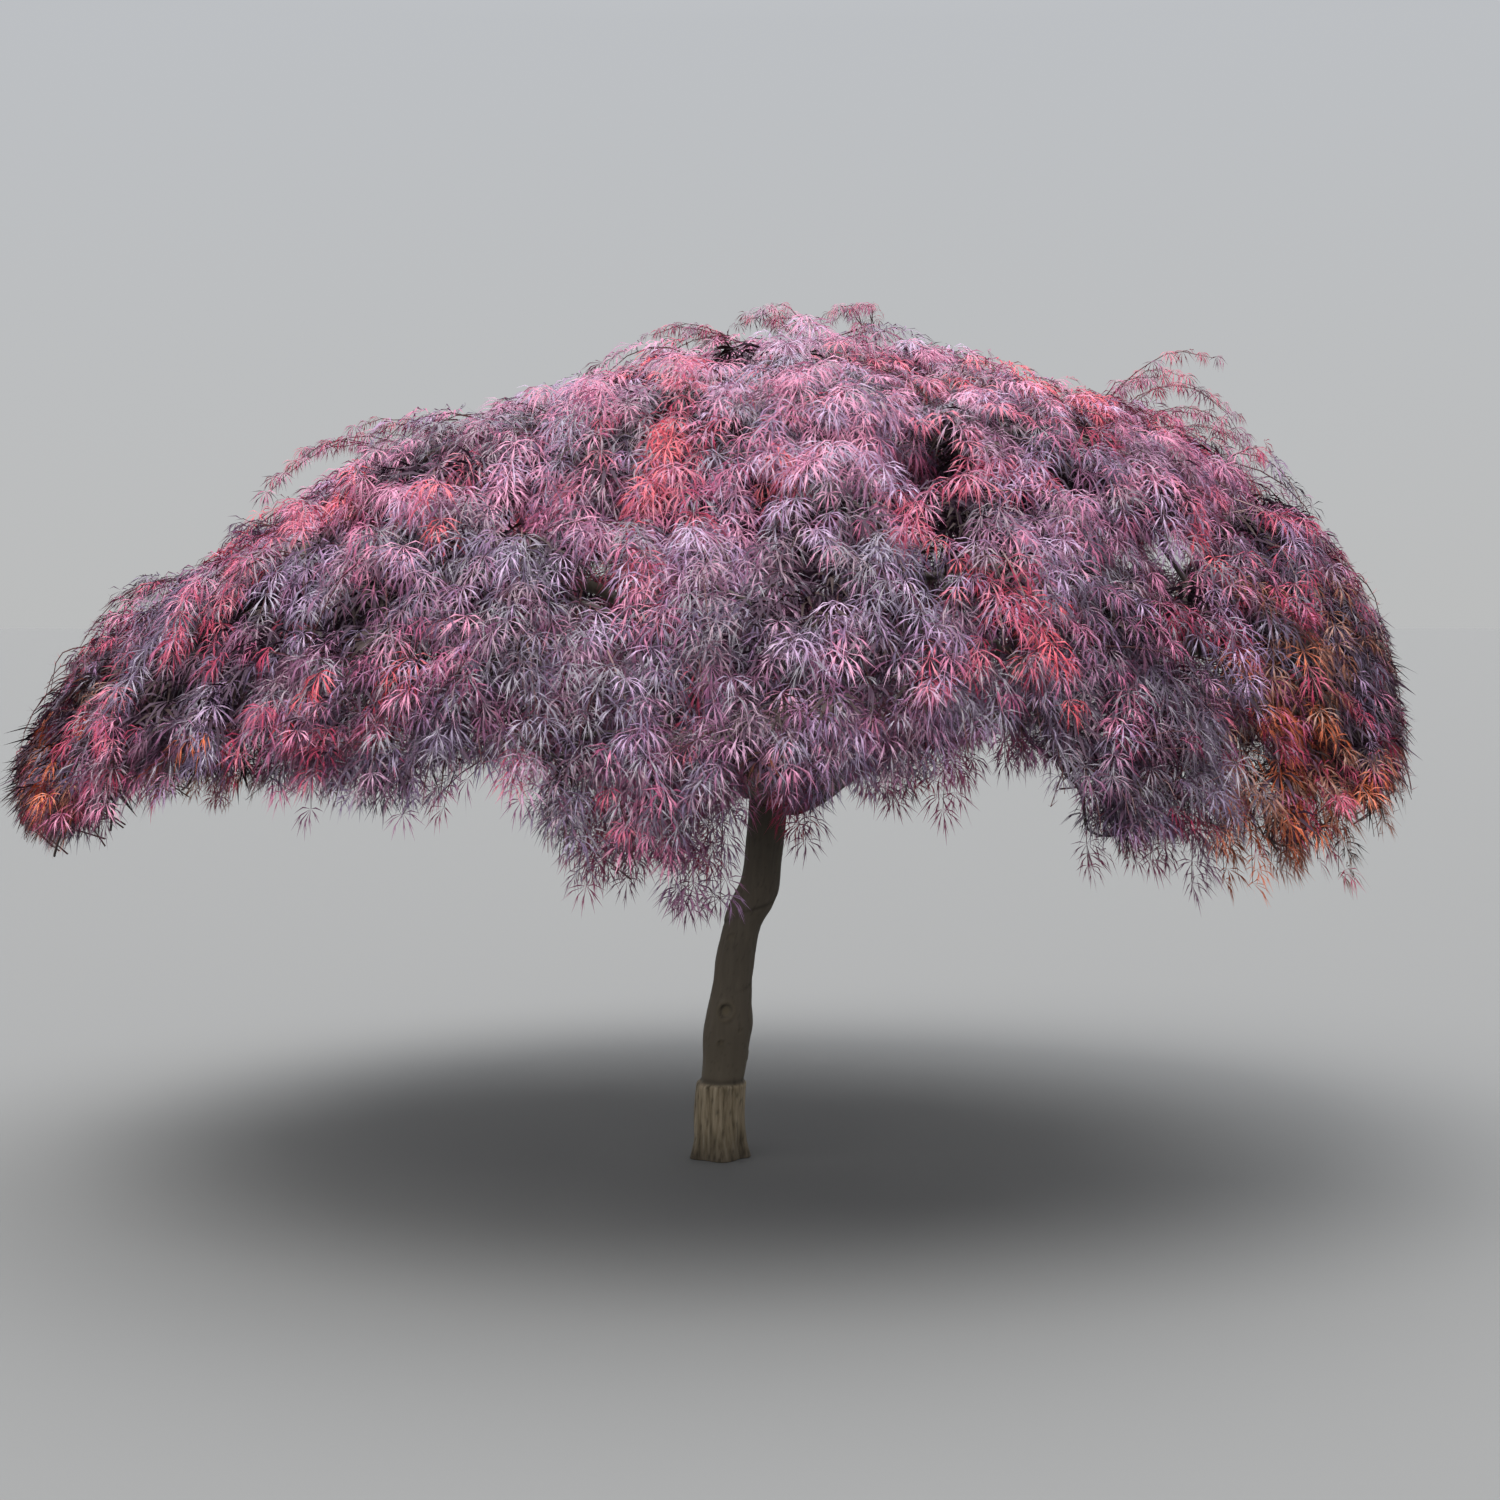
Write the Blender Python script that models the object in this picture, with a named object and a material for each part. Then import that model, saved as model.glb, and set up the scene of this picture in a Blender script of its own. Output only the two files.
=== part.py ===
"""Garnet japanese maple: an old weeping laceleaf maple with an umbrella crown.

Metres, +Z up.  The origin is the middle of the flat cut under the trunk, on
level ground.  -Y is the front.  One crooked trunk carries nine boughs, and
these end where they enter the foliage, which is a hollow shell of separate
masses round the space under the crown.
"""
import math

import bmesh
import bpy
from mathutils import Vector, noise
from mathutils.bvhtree import BVHTree

# ---------------------------------------------------------------- named sizes
# Trunk: height, lean to the right, lean to the back, diameter.
TRUNK = (
    (0.000, 0.000, 0.000, 0.174),
    (0.045, 0.000, 0.000, 0.156),
    (0.130, 0.000, 0.001, 0.150),
    (0.192, 0.004, 0.002, 0.153),
    (0.216, 0.008, 0.002, 0.149),  # top of the rootstock
    (0.232, 0.010, 0.002, 0.131),  # just over the graft
    (0.285, 0.016, 0.003, 0.131),
    (0.340, 0.020, 0.004, 0.137),
    (0.395, 0.027, 0.005, 0.142),
    (0.455, 0.032, 0.007, 0.130),
    (0.525, 0.040, 0.010, 0.118),
    (0.610, 0.052, 0.014, 0.114),
    (0.690, 0.070, 0.017, 0.113),
    (0.742, 0.091, 0.018, 0.131),  # knee
    (0.783, 0.109, 0.018, 0.130),
    (0.825, 0.122, 0.016, 0.116),
    (0.880, 0.130, 0.012, 0.108),
    (0.960, 0.138, 0.005, 0.110),
    (1.060, 0.147, 0.000, 0.114),
    (1.165, 0.155, 0.000, 0.126),  # fork
)
TRUNK_SIDES_RES = 5  # bevel resolution: 14 sides
ROOT_FLARE_Z = 0.10  # the foot spreads in a few blunt ribs below this
ROOT_RIBS, ROOT_RIB_DEPTH = 5, 0.12

# Crown: a dome over a rim, about its own axis.
CROWN_AXIS = Vector((0.158, 0.0))
CROWN_TOP = 2.40
RIM_MEAN, RIM_C1, RIM_C2 = 1.835, -0.19, 0.19
DOME_POWER, DOME_POWER_SIDE = 1.98, 0.34
# Height of the lowest tips, by direction in degrees (0 right, 90 back,
# 180 left, 270 front).
RIM_HEIGHT = (
    (0, 1.11), (30, 1.06), (90, 1.06), (140, 1.02), (165, 0.96), (182, 0.93),
    (205, 1.01), (222, 1.16), (236, 1.23), (248, 1.20), (257, 0.98),
    (262, 1.00), (266, 1.24), (280, 1.26), (285, 1.24), (291, 1.35),
    (297, 1.10), (304, 1.11), (312, 0.99), (319, 0.95), (330, 1.10),
    (342, 1.15),
)
# Where the crown stands out or sinks: direction, place along the profile,
# height, reach.
SWELLS = (
    (184, 0.33, -0.075, 0.42),  # the dip left of the top
    (186, 0.68, 0.055, 0.40),  # left shoulder
    (192, 0.90, 0.075, 0.34),  # left tips
    (-20, 0.43, -0.075, 0.28),  # the step down to the right shoulder
    (10, 0.43, -0.075, 0.28),
    (-8, 0.62, 0.060, 0.30),  # right shoulder
    (-14, 0.86, 0.030, 0.30),
)
SHELL_TOP, SHELL_MID, SHELL_RIM = 0.26, 0.29, 0.15  # thickness of the foliage
GAP = 0.013  # between neighbouring masses
UNEVEN, UNEVEN_SIZE = 0.040, 0.42  # height and spacing of the lumps
TIER = 0.035  # how far a mass stands out over the next one below

# Rings of foliage: where each starts and ends along the profile, 0 at the
# top and 1 at the rim, and where its masses meet, in degrees.
CAP_END, RING_END = 0.27, 0.60
UPPER = (
    ("foliage_upper_right", -22, 30), ("foliage_upper_back_right", 30, 80),
    ("foliage_upper_back_left", 80, 138), ("foliage_upper_left", 138, 192),
    ("foliage_upper_front_left", 192, 240), ("foliage_upper_front", 240, 291),
    ("foliage_upper_front_right", 291, 338),
)
SKIRT = (
    ("foliage_skirt_right", -50, -13), ("foliage_skirt_right_back", -13, 24),
    ("foliage_skirt_back_right", 24, 61), ("foliage_skirt_back", 61, 99),
    ("foliage_skirt_back_left", 99, 137), ("foliage_skirt_left_back", 137, 169),
    ("foliage_skirt_left", 169, 201), ("foliage_skirt_left_front", 201, 227),
    ("foliage_skirt_front_left", 227, 249), ("foliage_skirt_front_low", 249, 266),
    ("foliage_skirt_front", 266, 288), ("foliage_skirt_front_right", 288, 310),
)
# Loose sprays that stand up off the crown: name, middle y, foot, highest pull
# and tip as (x, z), thickness.
TUFTS = (
    ("spray_right_shoulder", -0.05, (1.12, 2.16), (1.27, 2.38), (1.52, 2.12), 0.13),
    ("spray_left_shoulder", -0.05, (-0.86, 2.04), (-1.09, 2.17), (-1.28, 1.98), 0.085),
    ("spray_top_left", -0.02, (-0.03, 2.41), (-0.11, 2.45), (-0.17, 2.40), 0.055),
    ("spray_top_middle", -0.03, (0.17, 2.42), (0.12, 2.53), (0.06, 2.43), 0.060),
    ("spray_top_right", 0.00, (0.33, 2.42), (0.38, 2.57), (0.43, 2.43), 0.060),
)

# Boughs: name, the limb that carries it and how far along that, direction of
# the start (degrees round, degrees up), aim on the crown (degrees round,
# place along the profile), diameter at the start and where it would end,
# first and last arm of the arch as parts of the span.
BOUGHS = (
    ("bough_leader", "trunk", 0.93, (70, 76), (20, 0.10), 0.086, 0.036, 0.40, 0.30),
    ("bough_left", "trunk", 0.95, (186, 46), (184, 0.70), 0.082, 0.030, 0.42, 0.30),
    ("bough_right", "trunk", 0.93, (8, 24), (4, 0.86), 0.080, 0.030, 0.34, 0.26),
    ("bough_front", "trunk", 0.94, (276, 40), (279, 0.66), 0.074, 0.030, 0.40, 0.30),
    ("bough_back", "trunk", 0.94, (96, 42), (92, 0.68), 0.076, 0.030, 0.40, 0.30),
    ("bough_front_left", "bough_left", 0.16, (214, 40), (226, 0.66), 0.058, 0.026, 0.36, 0.30),
    ("bough_front_right", "bough_front", 0.16, (316, 38), (320, 0.62), 0.058, 0.026, 0.36, 0.30),
    ("bough_back_right", "bough_back", 0.16, (54, 44), (46, 0.62), 0.058, 0.026, 0.36, 0.30),
    ("bough_back_left", "bough_back", 0.22, (136, 46), (140, 0.64), 0.054, 0.026, 0.36, 0.30),
)
BOUGH_CROOK = 0.035  # how far a bough wanders off its arch
BOUGH_STEP = 0.10  # one ring of a bough every so far
BOUGH_SIDES_RES = 2  # bevel resolution: 8 sides
CLEAR = 0.0005  # between limbs
ENTRY = 0.003  # between a bough's end and the mass it enters

COLOURS = {
    "trunk": (0.075, 0.062, 0.050),
    "bough": (0.060, 0.050, 0.044),
    "foliage": (0.115, 0.055, 0.080),
    "spray": (0.270, 0.040, 0.060),
}

# --------------------------------------------------------------------- set-up
for old in list(bpy.data.objects):
    bpy.data.objects.remove(old, do_unlink=True)


def collection(name):
    c = bpy.data.collections.new(name)
    bpy.context.scene.collection.children.link(c)
    return c


TREE = collection("garnet_japanese_maple")
CUTTERS = collection("cutters")


def material(name, rgb, rough):
    m = bpy.data.materials.new(name)
    m.use_nodes = True
    p = m.node_tree.nodes["Principled BSDF"]
    p.inputs["Base Color"].default_value = (*rgb, 1.0)
    p.inputs["Roughness"].default_value = rough
    p.inputs["Metallic"].default_value = 0.0
    return m


def smoothstep(a, b, x):
    t = min(1.0, max(0.0, (x - a) / (b - a)))
    return t * t * (3.0 - 2.0 * t)


def spline(p0, p1, p2, p3, t):
    """Catmull-Rom between p1 and p2."""
    return 0.5 * (
        2.0 * p1 + (p2 - p0) * t + (2.0 * p0 - 5.0 * p1 + 4.0 * p2 - p3) * t * t
        + (3.0 * p1 - p0 - 3.0 * p2 + p3) * t ** 3
    )


# ---------------------------------------------------------------------- crown
def rim_radius(th):
    return RIM_MEAN + RIM_C1 * math.cos(th) + RIM_C2 * math.cos(2 * th)


def rim_height(th):
    deg = math.degrees(th) % 360.0
    n = len(RIM_HEIGHT)
    i = max(k for k in range(n) if RIM_HEIGHT[k][0] <= deg)
    a, b = RIM_HEIGHT[i], RIM_HEIGHT[(i + 1) % n]
    span = (b[0] - a[0]) % 360.0
    t = (deg - a[0]) / span
    return a[1] + (b[1] - a[1]) * (0.5 - 0.5 * math.cos(math.pi * t))


def profile(th, steps=72):
    """Points (r, z) down the dome in direction th, with their run from the top."""
    power = DOME_POWER + DOME_POWER_SIDE * math.cos(th)
    big_r, low = rim_radius(th), rim_height(th)
    high = CROWN_TOP - low
    pts = []
    for k in range(steps + 1):
        f = 0.5 * math.pi * k / steps
        pts.append(Vector((
            big_r * math.sin(f) ** (2.0 / power),
            low + high * max(0.0, math.cos(f)) ** (2.0 / power),
        )))
    run = [0.0]
    for a, b in zip(pts, pts[1:]):
        run.append(run[-1] + (b - a).length)
    return pts, run


def on_profile(th, s):
    """Point (r, z), outward normal and whole run at part s of the profile."""
    pts, run = profile(th)
    want = s * run[-1]
    k = 0
    while k < len(run) - 2 and run[k + 1] < want:
        k += 1
    a, b = pts[k], pts[k + 1]
    t = (want - run[k]) / (run[k + 1] - run[k])
    p = a + (b - a) * t
    # A smoothed tangent keeps the inside of the shell from folding.
    lo, hi = max(0, k - 5), min(len(pts) - 1, k + 6)
    tan = (pts[hi] - pts[lo]).normalized()
    if s > 1.0:
        p = pts[-1] + Vector((0.0, -1.0)) * (want - run[-1])
    return p, Vector((-tan.y, tan.x)), run[-1]


def shell_thickness(s):
    if s < 0.5:
        return SHELL_TOP + (SHELL_MID - SHELL_TOP) * smoothstep(0.0, 0.5, s)
    return SHELL_MID + (SHELL_RIM - SHELL_MID) * smoothstep(0.5, 1.0, s)


def crown_point(th, s, depth):
    """The point under the crown's surface by depth, in the tree's frame."""
    p, n, _ = on_profile(th, s)
    r, z = p.x - n.x * depth, p.y - n.y * depth
    return Vector((CROWN_AXIS.x + r * math.cos(th), CROWN_AXIS.y + r * math.sin(th), z))


def lumps(p, seed):
    q = p / UNEVEN_SIZE + Vector((seed * 7.3, seed * 3.1, seed * 5.7))
    return noise.noise(q) + 0.5 * noise.noise(q * 2.1)


def side_line(deg, s):
    """Where two neighbours meet: a direction that wanders down the crown."""
    turn = math.radians(deg)
    return turn + math.radians(4.0) * math.sin(7.0 * s + 5.0 * turn) * smoothstep(0.1, 0.3, s)


def ring_line(base, th):
    """Where two rings meet: a height that wanders round the crown."""
    return base + 0.030 * math.sin(5.0 * th + 9.0 * base) + 0.010 * math.sin(8.0 * th + 2.0)


def rounded(p, power=4.5):
    """A point on the unit sphere pushed out to a rounded unit cube."""
    k = (abs(p.x) ** power + abs(p.y) ** power + abs(p.z) ** power) ** (-1.0 / power)
    return p * k


def face_out(bm):
    bmesh.ops.recalc_face_normals(bm, faces=bm.faces)
    if bm.calc_volume(signed=True) < 0.0:
        bmesh.ops.reverse_faces(bm, faces=bm.faces)


def finish_bmesh(bm, name, mat):
    face_out(bm)
    me = bpy.data.meshes.new(name)
    bm.to_mesh(me)
    bm.free()
    ob = bpy.data.objects.new(name, me)
    TREE.objects.link(ob)
    me.materials.append(mat)
    me.shade_smooth()
    return ob


def swells(p):
    """How far the named swells and dips lift the crown at p."""
    out = 0.0
    for at, (_, _, height, reach) in zip(SWELL_AT, SWELLS):
        out += height * math.exp(-((p - at).length / reach) ** 2)
    return out


SWELL_AT = [crown_point(math.radians(deg), s, 0.0) for deg, s, _, _ in SWELLS]


def skin_offset(p, s, v, seed):
    """How far the outer skin stands off the plain dome; v runs 0 to 1 down a mass."""
    tier = TIER * (smoothstep(0.25, 0.85, v) - 0.5)
    return UNEVEN * lumps(p, seed) + tier + swells(p)


def ring_mass(name, deg0, deg1, s0, s1, seed):
    """One mass of a ring: a rounded block bent to its sector of the shell."""
    bm = bmesh.new()
    bmesh.ops.create_icosphere(bm, subdivisions=3, radius=1.0)
    skirt = s1 is None
    for vert in bm.verts:
        c = rounded(vert.co.normalized())
        u, v, w = 0.5 + 0.5 * c.x, 0.5 + 0.5 * c.y, 0.5 - 0.5 * c.z
        th, s = math.radians(0.5 * (deg0 + deg1)), s0
        for _ in range(6):
            _, _, run = on_profile(th, s)
            a = ring_line(s0, th) + 1.3 * GAP / run
            if skirt:
                b = 1.0 + 0.022 * math.sin(9.0 * th + seed)
            else:
                b = ring_line(s1, th) - 1.3 * GAP / run
            s = a + (b - a) * v
            p, _, _ = on_profile(th, s)
            inset = 0.5 * GAP / max(0.2, p.x)
            left, right = side_line(deg0, s) + inset, side_line(deg1, s) - inset
            th = left + (right - left) * u
        base = crown_point(th, s, 0.0)
        thick = shell_thickness(s)
        lift = skin_offset(base, s, v, seed)
        depth = -lift * (1.0 - w) + w * (thick + 0.02 * lumps(base, seed + 40))
        vert.co = crown_point(th, s, depth)
    return finish_bmesh(bm, name, material(name, COLOURS["foliage"], 0.6))


def cap_mass(name, seed):
    """The top of the crown: a rounded disc over the axis."""
    bm = bmesh.new()
    bmesh.ops.create_icosphere(bm, subdivisions=3, radius=1.0)
    for vert in bm.verts:
        c = vert.co.normalized()
        flat = Vector((c.x, c.y)).length
        th = math.atan2(c.y, c.x)
        k = (flat ** 4.0 + abs(c.z) ** 4.0) ** -0.25
        rho, w = flat * k, 0.5 - 0.5 * c.z * k
        _, _, run = on_profile(th, CAP_END)
        s = rho * (ring_line(CAP_END, th) - 2.2 * GAP / run)
        base = crown_point(th, s, 0.0)
        # Round the axis the skin is level, whatever the direction.
        lift = skin_offset(base, s, rho * 0.8, seed)
        depth = -lift * (1.0 - w) + w * (SHELL_TOP + 0.02 * lumps(base, seed + 40))
        p = crown_point(th, s, 0.0)
        q = crown_point(th, s, depth)
        near = smoothstep(0.0, 0.35, rho)
        vert.co = (p - Vector((0.0, 0.0, depth))) * (1.0 - near) + q * near
    return finish_bmesh(bm, name, material(name, COLOURS["foliage"], 0.6))


masses = [cap_mass("foliage_top", 1)]
for i, (name, d0, d1) in enumerate(UPPER):
    masses.append(ring_mass(name, d0, d1, CAP_END, RING_END, 2 + i))
for i, (name, d0, d1) in enumerate(SKIRT):
    masses.append(ring_mass(name, d0, d1, RING_END, None, 12 + i))


def tree_of(obs):
    """One search tree over the world-space faces of these objects."""
    verts, faces = [], []
    for o in obs:
        k = len(verts)
        verts += [o.matrix_world @ v.co for v in o.data.vertices]
        faces += [tuple(k + i for i in f.vertices) for f in o.data.polygons]
    return BVHTree.FromPolygons(verts, faces, epsilon=0.0)


mass_tree = tree_of(masses)


def tuft(name, y, foot, pull, tip, thick, seed):
    """A loose spray: a lumpy spindle that rises from the skin and tips over."""
    a, b, c = [Vector((x, y, z)) for x, z in (foot, pull, tip)]
    bm = bmesh.new()
    bmesh.ops.create_icosphere(bm, subdivisions=2, radius=1.0)
    for vert in bm.verts:
        q = vert.co.normalized()
        t = 0.5 + 0.5 * q.z
        p = a * (1 - t) ** 2 + b * 2 * t * (1 - t) + c * t * t
        run = ((b - a) * (1 - t) + (c - b) * t).normalized()
        out = Vector((-run.z, 0.0, run.x))
        p += out * q.x * 0.5 * thick + Vector((0.0, q.y * 0.75 * thick, 0.0))
        p += q * 0.14 * thick * noise.noise(q * 1.9 + Vector((seed, 0, 0)))
        vert.co = p
    shape = [v.co.copy() for v in bm.verts]
    faces = [tuple(v.index for v in f.verts) for f in bm.faces]
    up = Vector((0.0, 0.0, 0.0))
    while BVHTree.FromPolygons([p + up for p in shape], faces).overlap(mass_tree):
        up.z += 0.003
    for vert, p in zip(bm.verts, shape):
        vert.co = p + up
    return finish_bmesh(bm, name, material(name, COLOURS["spray"], 0.6))


tufts = [tuft(*row, seed=50 + i) for i, row in enumerate(TUFTS)]


# ---------------------------------------------------------------------- limbs
def trunk_line(steps=3):
    """The trunk's middle line and radius, smoothed through the named sizes."""
    rows = [(Vector((x, y, z)), 0.5 * d) for z, x, y, d in TRUNK]
    rows = [rows[0]] + rows + [rows[-1]]
    out = []
    for k in range(1, len(rows) - 2):
        for j in range(steps):
            t = j / steps
            p = spline(rows[k - 1][0], rows[k][0], rows[k + 1][0], rows[k + 2][0], t)
            r = rows[k][1] + (rows[k + 1][1] - rows[k][1]) * t
            out.append((p, r))
    out.append(rows[-1])
    return out


def tube(name, line, res, grow=0.0):
    """A closed mesh tube along a line of (point, radius), from a bevelled curve."""
    cu = bpy.data.curves.new(name, "CURVE")
    cu.dimensions = "3D"
    cu.bevel_depth = 1.0
    cu.bevel_resolution = res
    cu.use_fill_caps = True
    sp = cu.splines.new("POLY")
    sp.points.add(len(line) - 1)
    for pt, (p, r) in zip(sp.points, line):
        pt.co = (*p, 1.0)
        pt.radius = r + grow
    ob = bpy.data.objects.new(name, cu)
    TREE.objects.link(ob)
    bpy.context.view_layer.update()
    deps = bpy.context.evaluated_depsgraph_get()
    me = bpy.data.meshes.new_from_object(ob.evaluated_get(deps))
    place = ob.matrix_world.copy()
    bpy.data.objects.remove(ob, do_unlink=True)
    bpy.data.curves.remove(cu)
    new = bpy.data.objects.new(name, me)
    new.matrix_world = place
    bm = bmesh.new()
    bm.from_mesh(me)
    bmesh.ops.remove_doubles(bm, verts=bm.verts, dist=0.00005)
    face_out(bm)
    bm.to_mesh(me)
    bm.free()
    me.name = name
    return new


def shape_foot(ob):
    """Blunt root ribs at the foot, and a base that is flat at the ground."""
    for v in ob.data.vertices:
        z = v.co.z
        if z < ROOT_FLARE_Z:
            k = 1.0 - smoothstep(0.0, ROOT_FLARE_Z, z)
            a = math.atan2(v.co.y, v.co.x)
            f = 1.0 + ROOT_RIB_DEPTH * k * math.cos(ROOT_RIBS * a + 0.7)
            v.co.x *= f
            v.co.y *= f
        if z < 0.004:
            v.co.z = 0.0


def as_cutter(ob):
    CUTTERS.objects.link(ob)
    ob.hide_render = True
    ob.display_type = "WIRE"


def trunk_mesh(name, grow=0.0):
    line = trunk_line(1)
    if grow:
        end, r = line[-1]
        way = (end - line[-2][0]).normalized()
        line[-1] = (end + way * grow, r)
    ob = tube(name, line, TRUNK_SIDES_RES, grow)
    shape_foot(ob)
    return ob


limbs = {}  # name: (line, cutter)


def trim(ob, cutters):
    """Cut the limb back to the surface of those that carry it."""
    for c in cutters:
        mod = ob.modifiers.new("trim", "BOOLEAN")
        mod.operation = "DIFFERENCE"
        mod.solver = "EXACT"
        mod.object = c
    bpy.context.view_layer.update()
    deps = bpy.context.evaluated_depsgraph_get()
    me = bpy.data.meshes.new_from_object(ob.evaluated_get(deps))
    ob.modifiers.clear()
    bm = bmesh.new()
    bm.from_mesh(me)
    bmesh.ops.remove_doubles(bm, verts=bm.verts, dist=0.00005)
    # Only the outer piece stays, if the cut left more than one.
    left, pieces = set(bm.verts), []
    while left:
        piece, todo = set(), [left.pop()]
        while todo:
            v = todo.pop()
            piece.add(v)
            for e in v.link_edges:
                o = e.other_vert(v)
                if o in left:
                    left.remove(o)
                    todo.append(o)
        pieces.append(piece)
    pieces.sort(key=len)
    for piece in pieces[:-1]:
        bmesh.ops.delete(bm, geom=list(piece), context="VERTS")
    face_out(bm)
    bm.to_mesh(me)
    bm.free()
    me.name = ob.name
    ob.data = me


def way(deg_round, deg_up):
    a, b = math.radians(deg_round), math.radians(deg_up)
    return Vector((math.cos(a) * math.cos(b), math.sin(a) * math.cos(b), math.sin(b)))


def along(line, t):
    """Point and radius at part t of a line."""
    k = min(len(line) - 2, int(t * (len(line) - 1)))
    f = t * (len(line) - 1) - k
    (a, ra), (b, rb) = line[k], line[k + 1]
    return a + (b - a) * f, ra + (rb - ra) * f


def bough_line(carrier, part, start_way, aim, d0, d1, arm0, arm1, seed):
    """An arch from inside its carrier to the inner face of the shell."""
    start, _ = along(limbs[carrier][0], part)
    th, s = math.radians(aim[0]), aim[1]
    end = crown_point(th, s, 0.5 * shell_thickness(s))
    ahead = crown_point(th, min(1.0, s + 0.05), 0.5 * shell_thickness(s))
    arrive = (ahead - end).normalized()
    span = (end - start).length
    a = start + way(*start_way) * span * arm0
    b = end - (arrive * 0.7 + (end - start).normalized() * 0.5).normalized() * span * arm1
    count = max(8, round(span / BOUGH_STEP))
    line = []
    for k in range(count + 1):
        t = k / count
        p = (start * (1 - t) ** 3 + a * 3 * t * (1 - t) ** 2
             + b * 3 * t * t * (1 - t) + end * t ** 3)
        wander = math.sin(math.pi * min(1.0, t * 1.15)) * BOUGH_CROOK
        q = p * 3.1
        p += Vector((
            noise.noise(q + Vector((seed, 0, 0))),
            noise.noise(q + Vector((0, seed, 9))),
            noise.noise(q + Vector((5, 0, seed))),
        )) * wander * 2.0
        taper = t ** 0.75
        swell = 1.0 + 0.35 * max(0.0, 1.0 - t / 0.09) ** 2
        r = 0.5 * (d0 + (d1 - d0) * taper) * swell
        if line:
            clear = clear_part(line[-1], (p, r))
            if clear < 1.0:
                # The bough ends where it enters the foliage.
                if clear * (p - line[-1][0]).length > 0.02:
                    q = line[-1][0].lerp(p, clear)
                    line.append((q, line[-1][1] + (r - line[-1][1]) * clear))
                break
        line.append((p, r))
    return line


def clear_part(a, b, steps=40):
    """How far from a to b a limb runs before it meets the foliage."""
    for k in range(1, steps + 1):
        t = k / steps
        p, r = a[0].lerp(b[0], t), a[1] + (b[1] - a[1]) * t
        if mass_tree.find_nearest(p)[3] < r + ENTRY:
            return (k - 1) / steps
    return 1.0


trunk = trunk_mesh("trunk")
TREE.objects.link(trunk)
trunk.data.materials.append(material("trunk", COLOURS["trunk"], 0.85))
trunk.data.shade_smooth()
trunk.data.set_sharp_from_angle(angle=math.radians(50))
cutter = trunk_mesh("trunk_cut", CLEAR)
as_cutter(cutter)
limbs["trunk"] = (trunk_line(1), cutter)

for i, (name, carrier, part, start, aim, d0, d1, arm0, arm1) in enumerate(BOUGHS):
    line = bough_line(carrier, part, start, aim, d0, d1, arm0, arm1, 11.7 + 3.3 * i)
    ob = tube(name, line, BOUGH_SIDES_RES)
    TREE.objects.link(ob)
    trim(ob, [c for _, c in reversed(limbs.values())])
    ob.data.materials.clear()
    ob.data.materials.append(material(name, COLOURS["bough"], 0.85))
    ob.data.shade_smooth()
    ob.data.set_sharp_from_angle(angle=math.radians(50))
    cutter = tube(name + "_cut", line, BOUGH_SIDES_RES, CLEAR)
    as_cutter(cutter)
    limbs[name] = (line, cutter)
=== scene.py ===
"""Looks of the garnet japanese maple: bark, branches, twigs and leaves.

Everything here is in metres in the frame of the solids.  Limbs get a mesh
with the bark's relief.  Each mass of foliage is replaced by branches that
grow on from the boughs, shoots that fan out in drooping tiers, and leaves.
"""
import math

import bpy
import numpy as np
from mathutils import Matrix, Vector, noise
from mathutils.bvhtree import BVHTree


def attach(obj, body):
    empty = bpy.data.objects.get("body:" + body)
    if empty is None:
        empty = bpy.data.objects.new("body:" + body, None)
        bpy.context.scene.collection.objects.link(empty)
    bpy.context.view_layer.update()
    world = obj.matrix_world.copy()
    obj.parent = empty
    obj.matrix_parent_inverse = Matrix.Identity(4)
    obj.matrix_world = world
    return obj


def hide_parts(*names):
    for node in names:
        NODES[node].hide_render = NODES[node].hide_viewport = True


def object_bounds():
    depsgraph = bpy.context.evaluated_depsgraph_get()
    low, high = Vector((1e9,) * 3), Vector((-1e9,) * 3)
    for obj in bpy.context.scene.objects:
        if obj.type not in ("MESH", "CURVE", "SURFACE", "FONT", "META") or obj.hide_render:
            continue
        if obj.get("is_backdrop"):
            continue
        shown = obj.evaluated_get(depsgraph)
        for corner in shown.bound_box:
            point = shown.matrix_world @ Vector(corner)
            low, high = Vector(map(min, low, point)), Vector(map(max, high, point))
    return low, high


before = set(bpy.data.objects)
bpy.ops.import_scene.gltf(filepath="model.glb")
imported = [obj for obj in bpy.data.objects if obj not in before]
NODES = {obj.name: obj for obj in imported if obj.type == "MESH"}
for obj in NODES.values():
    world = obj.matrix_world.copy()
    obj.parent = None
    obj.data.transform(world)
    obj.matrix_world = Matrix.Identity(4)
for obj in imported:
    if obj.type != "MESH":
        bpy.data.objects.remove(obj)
cad_low, cad_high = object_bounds()
rng = np.random.default_rng(90417)

# ---------------------------------------------------------------- named sizes
TRUNK = (  # height, lean right, lean back, diameter
    (0.000, 0.000, 0.000, 0.174), (0.045, 0.000, 0.000, 0.156),
    (0.130, 0.000, 0.001, 0.150), (0.192, 0.004, 0.002, 0.153),
    (0.216, 0.008, 0.002, 0.149), (0.232, 0.010, 0.002, 0.131),
    (0.285, 0.016, 0.003, 0.131), (0.340, 0.020, 0.004, 0.137),
    (0.395, 0.027, 0.005, 0.142), (0.455, 0.032, 0.007, 0.130),
    (0.525, 0.040, 0.010, 0.118), (0.610, 0.052, 0.014, 0.114),
    (0.690, 0.070, 0.017, 0.113), (0.742, 0.091, 0.018, 0.131),
    (0.783, 0.109, 0.018, 0.130), (0.825, 0.122, 0.016, 0.116),
    (0.880, 0.130, 0.012, 0.108), (0.960, 0.138, 0.005, 0.110),
    (1.060, 0.147, 0.000, 0.114), (1.165, 0.155, 0.000, 0.126),
)
GRAFT_Z = 0.222
FORK = np.array([0.155, 0.0, 1.165])
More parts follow.
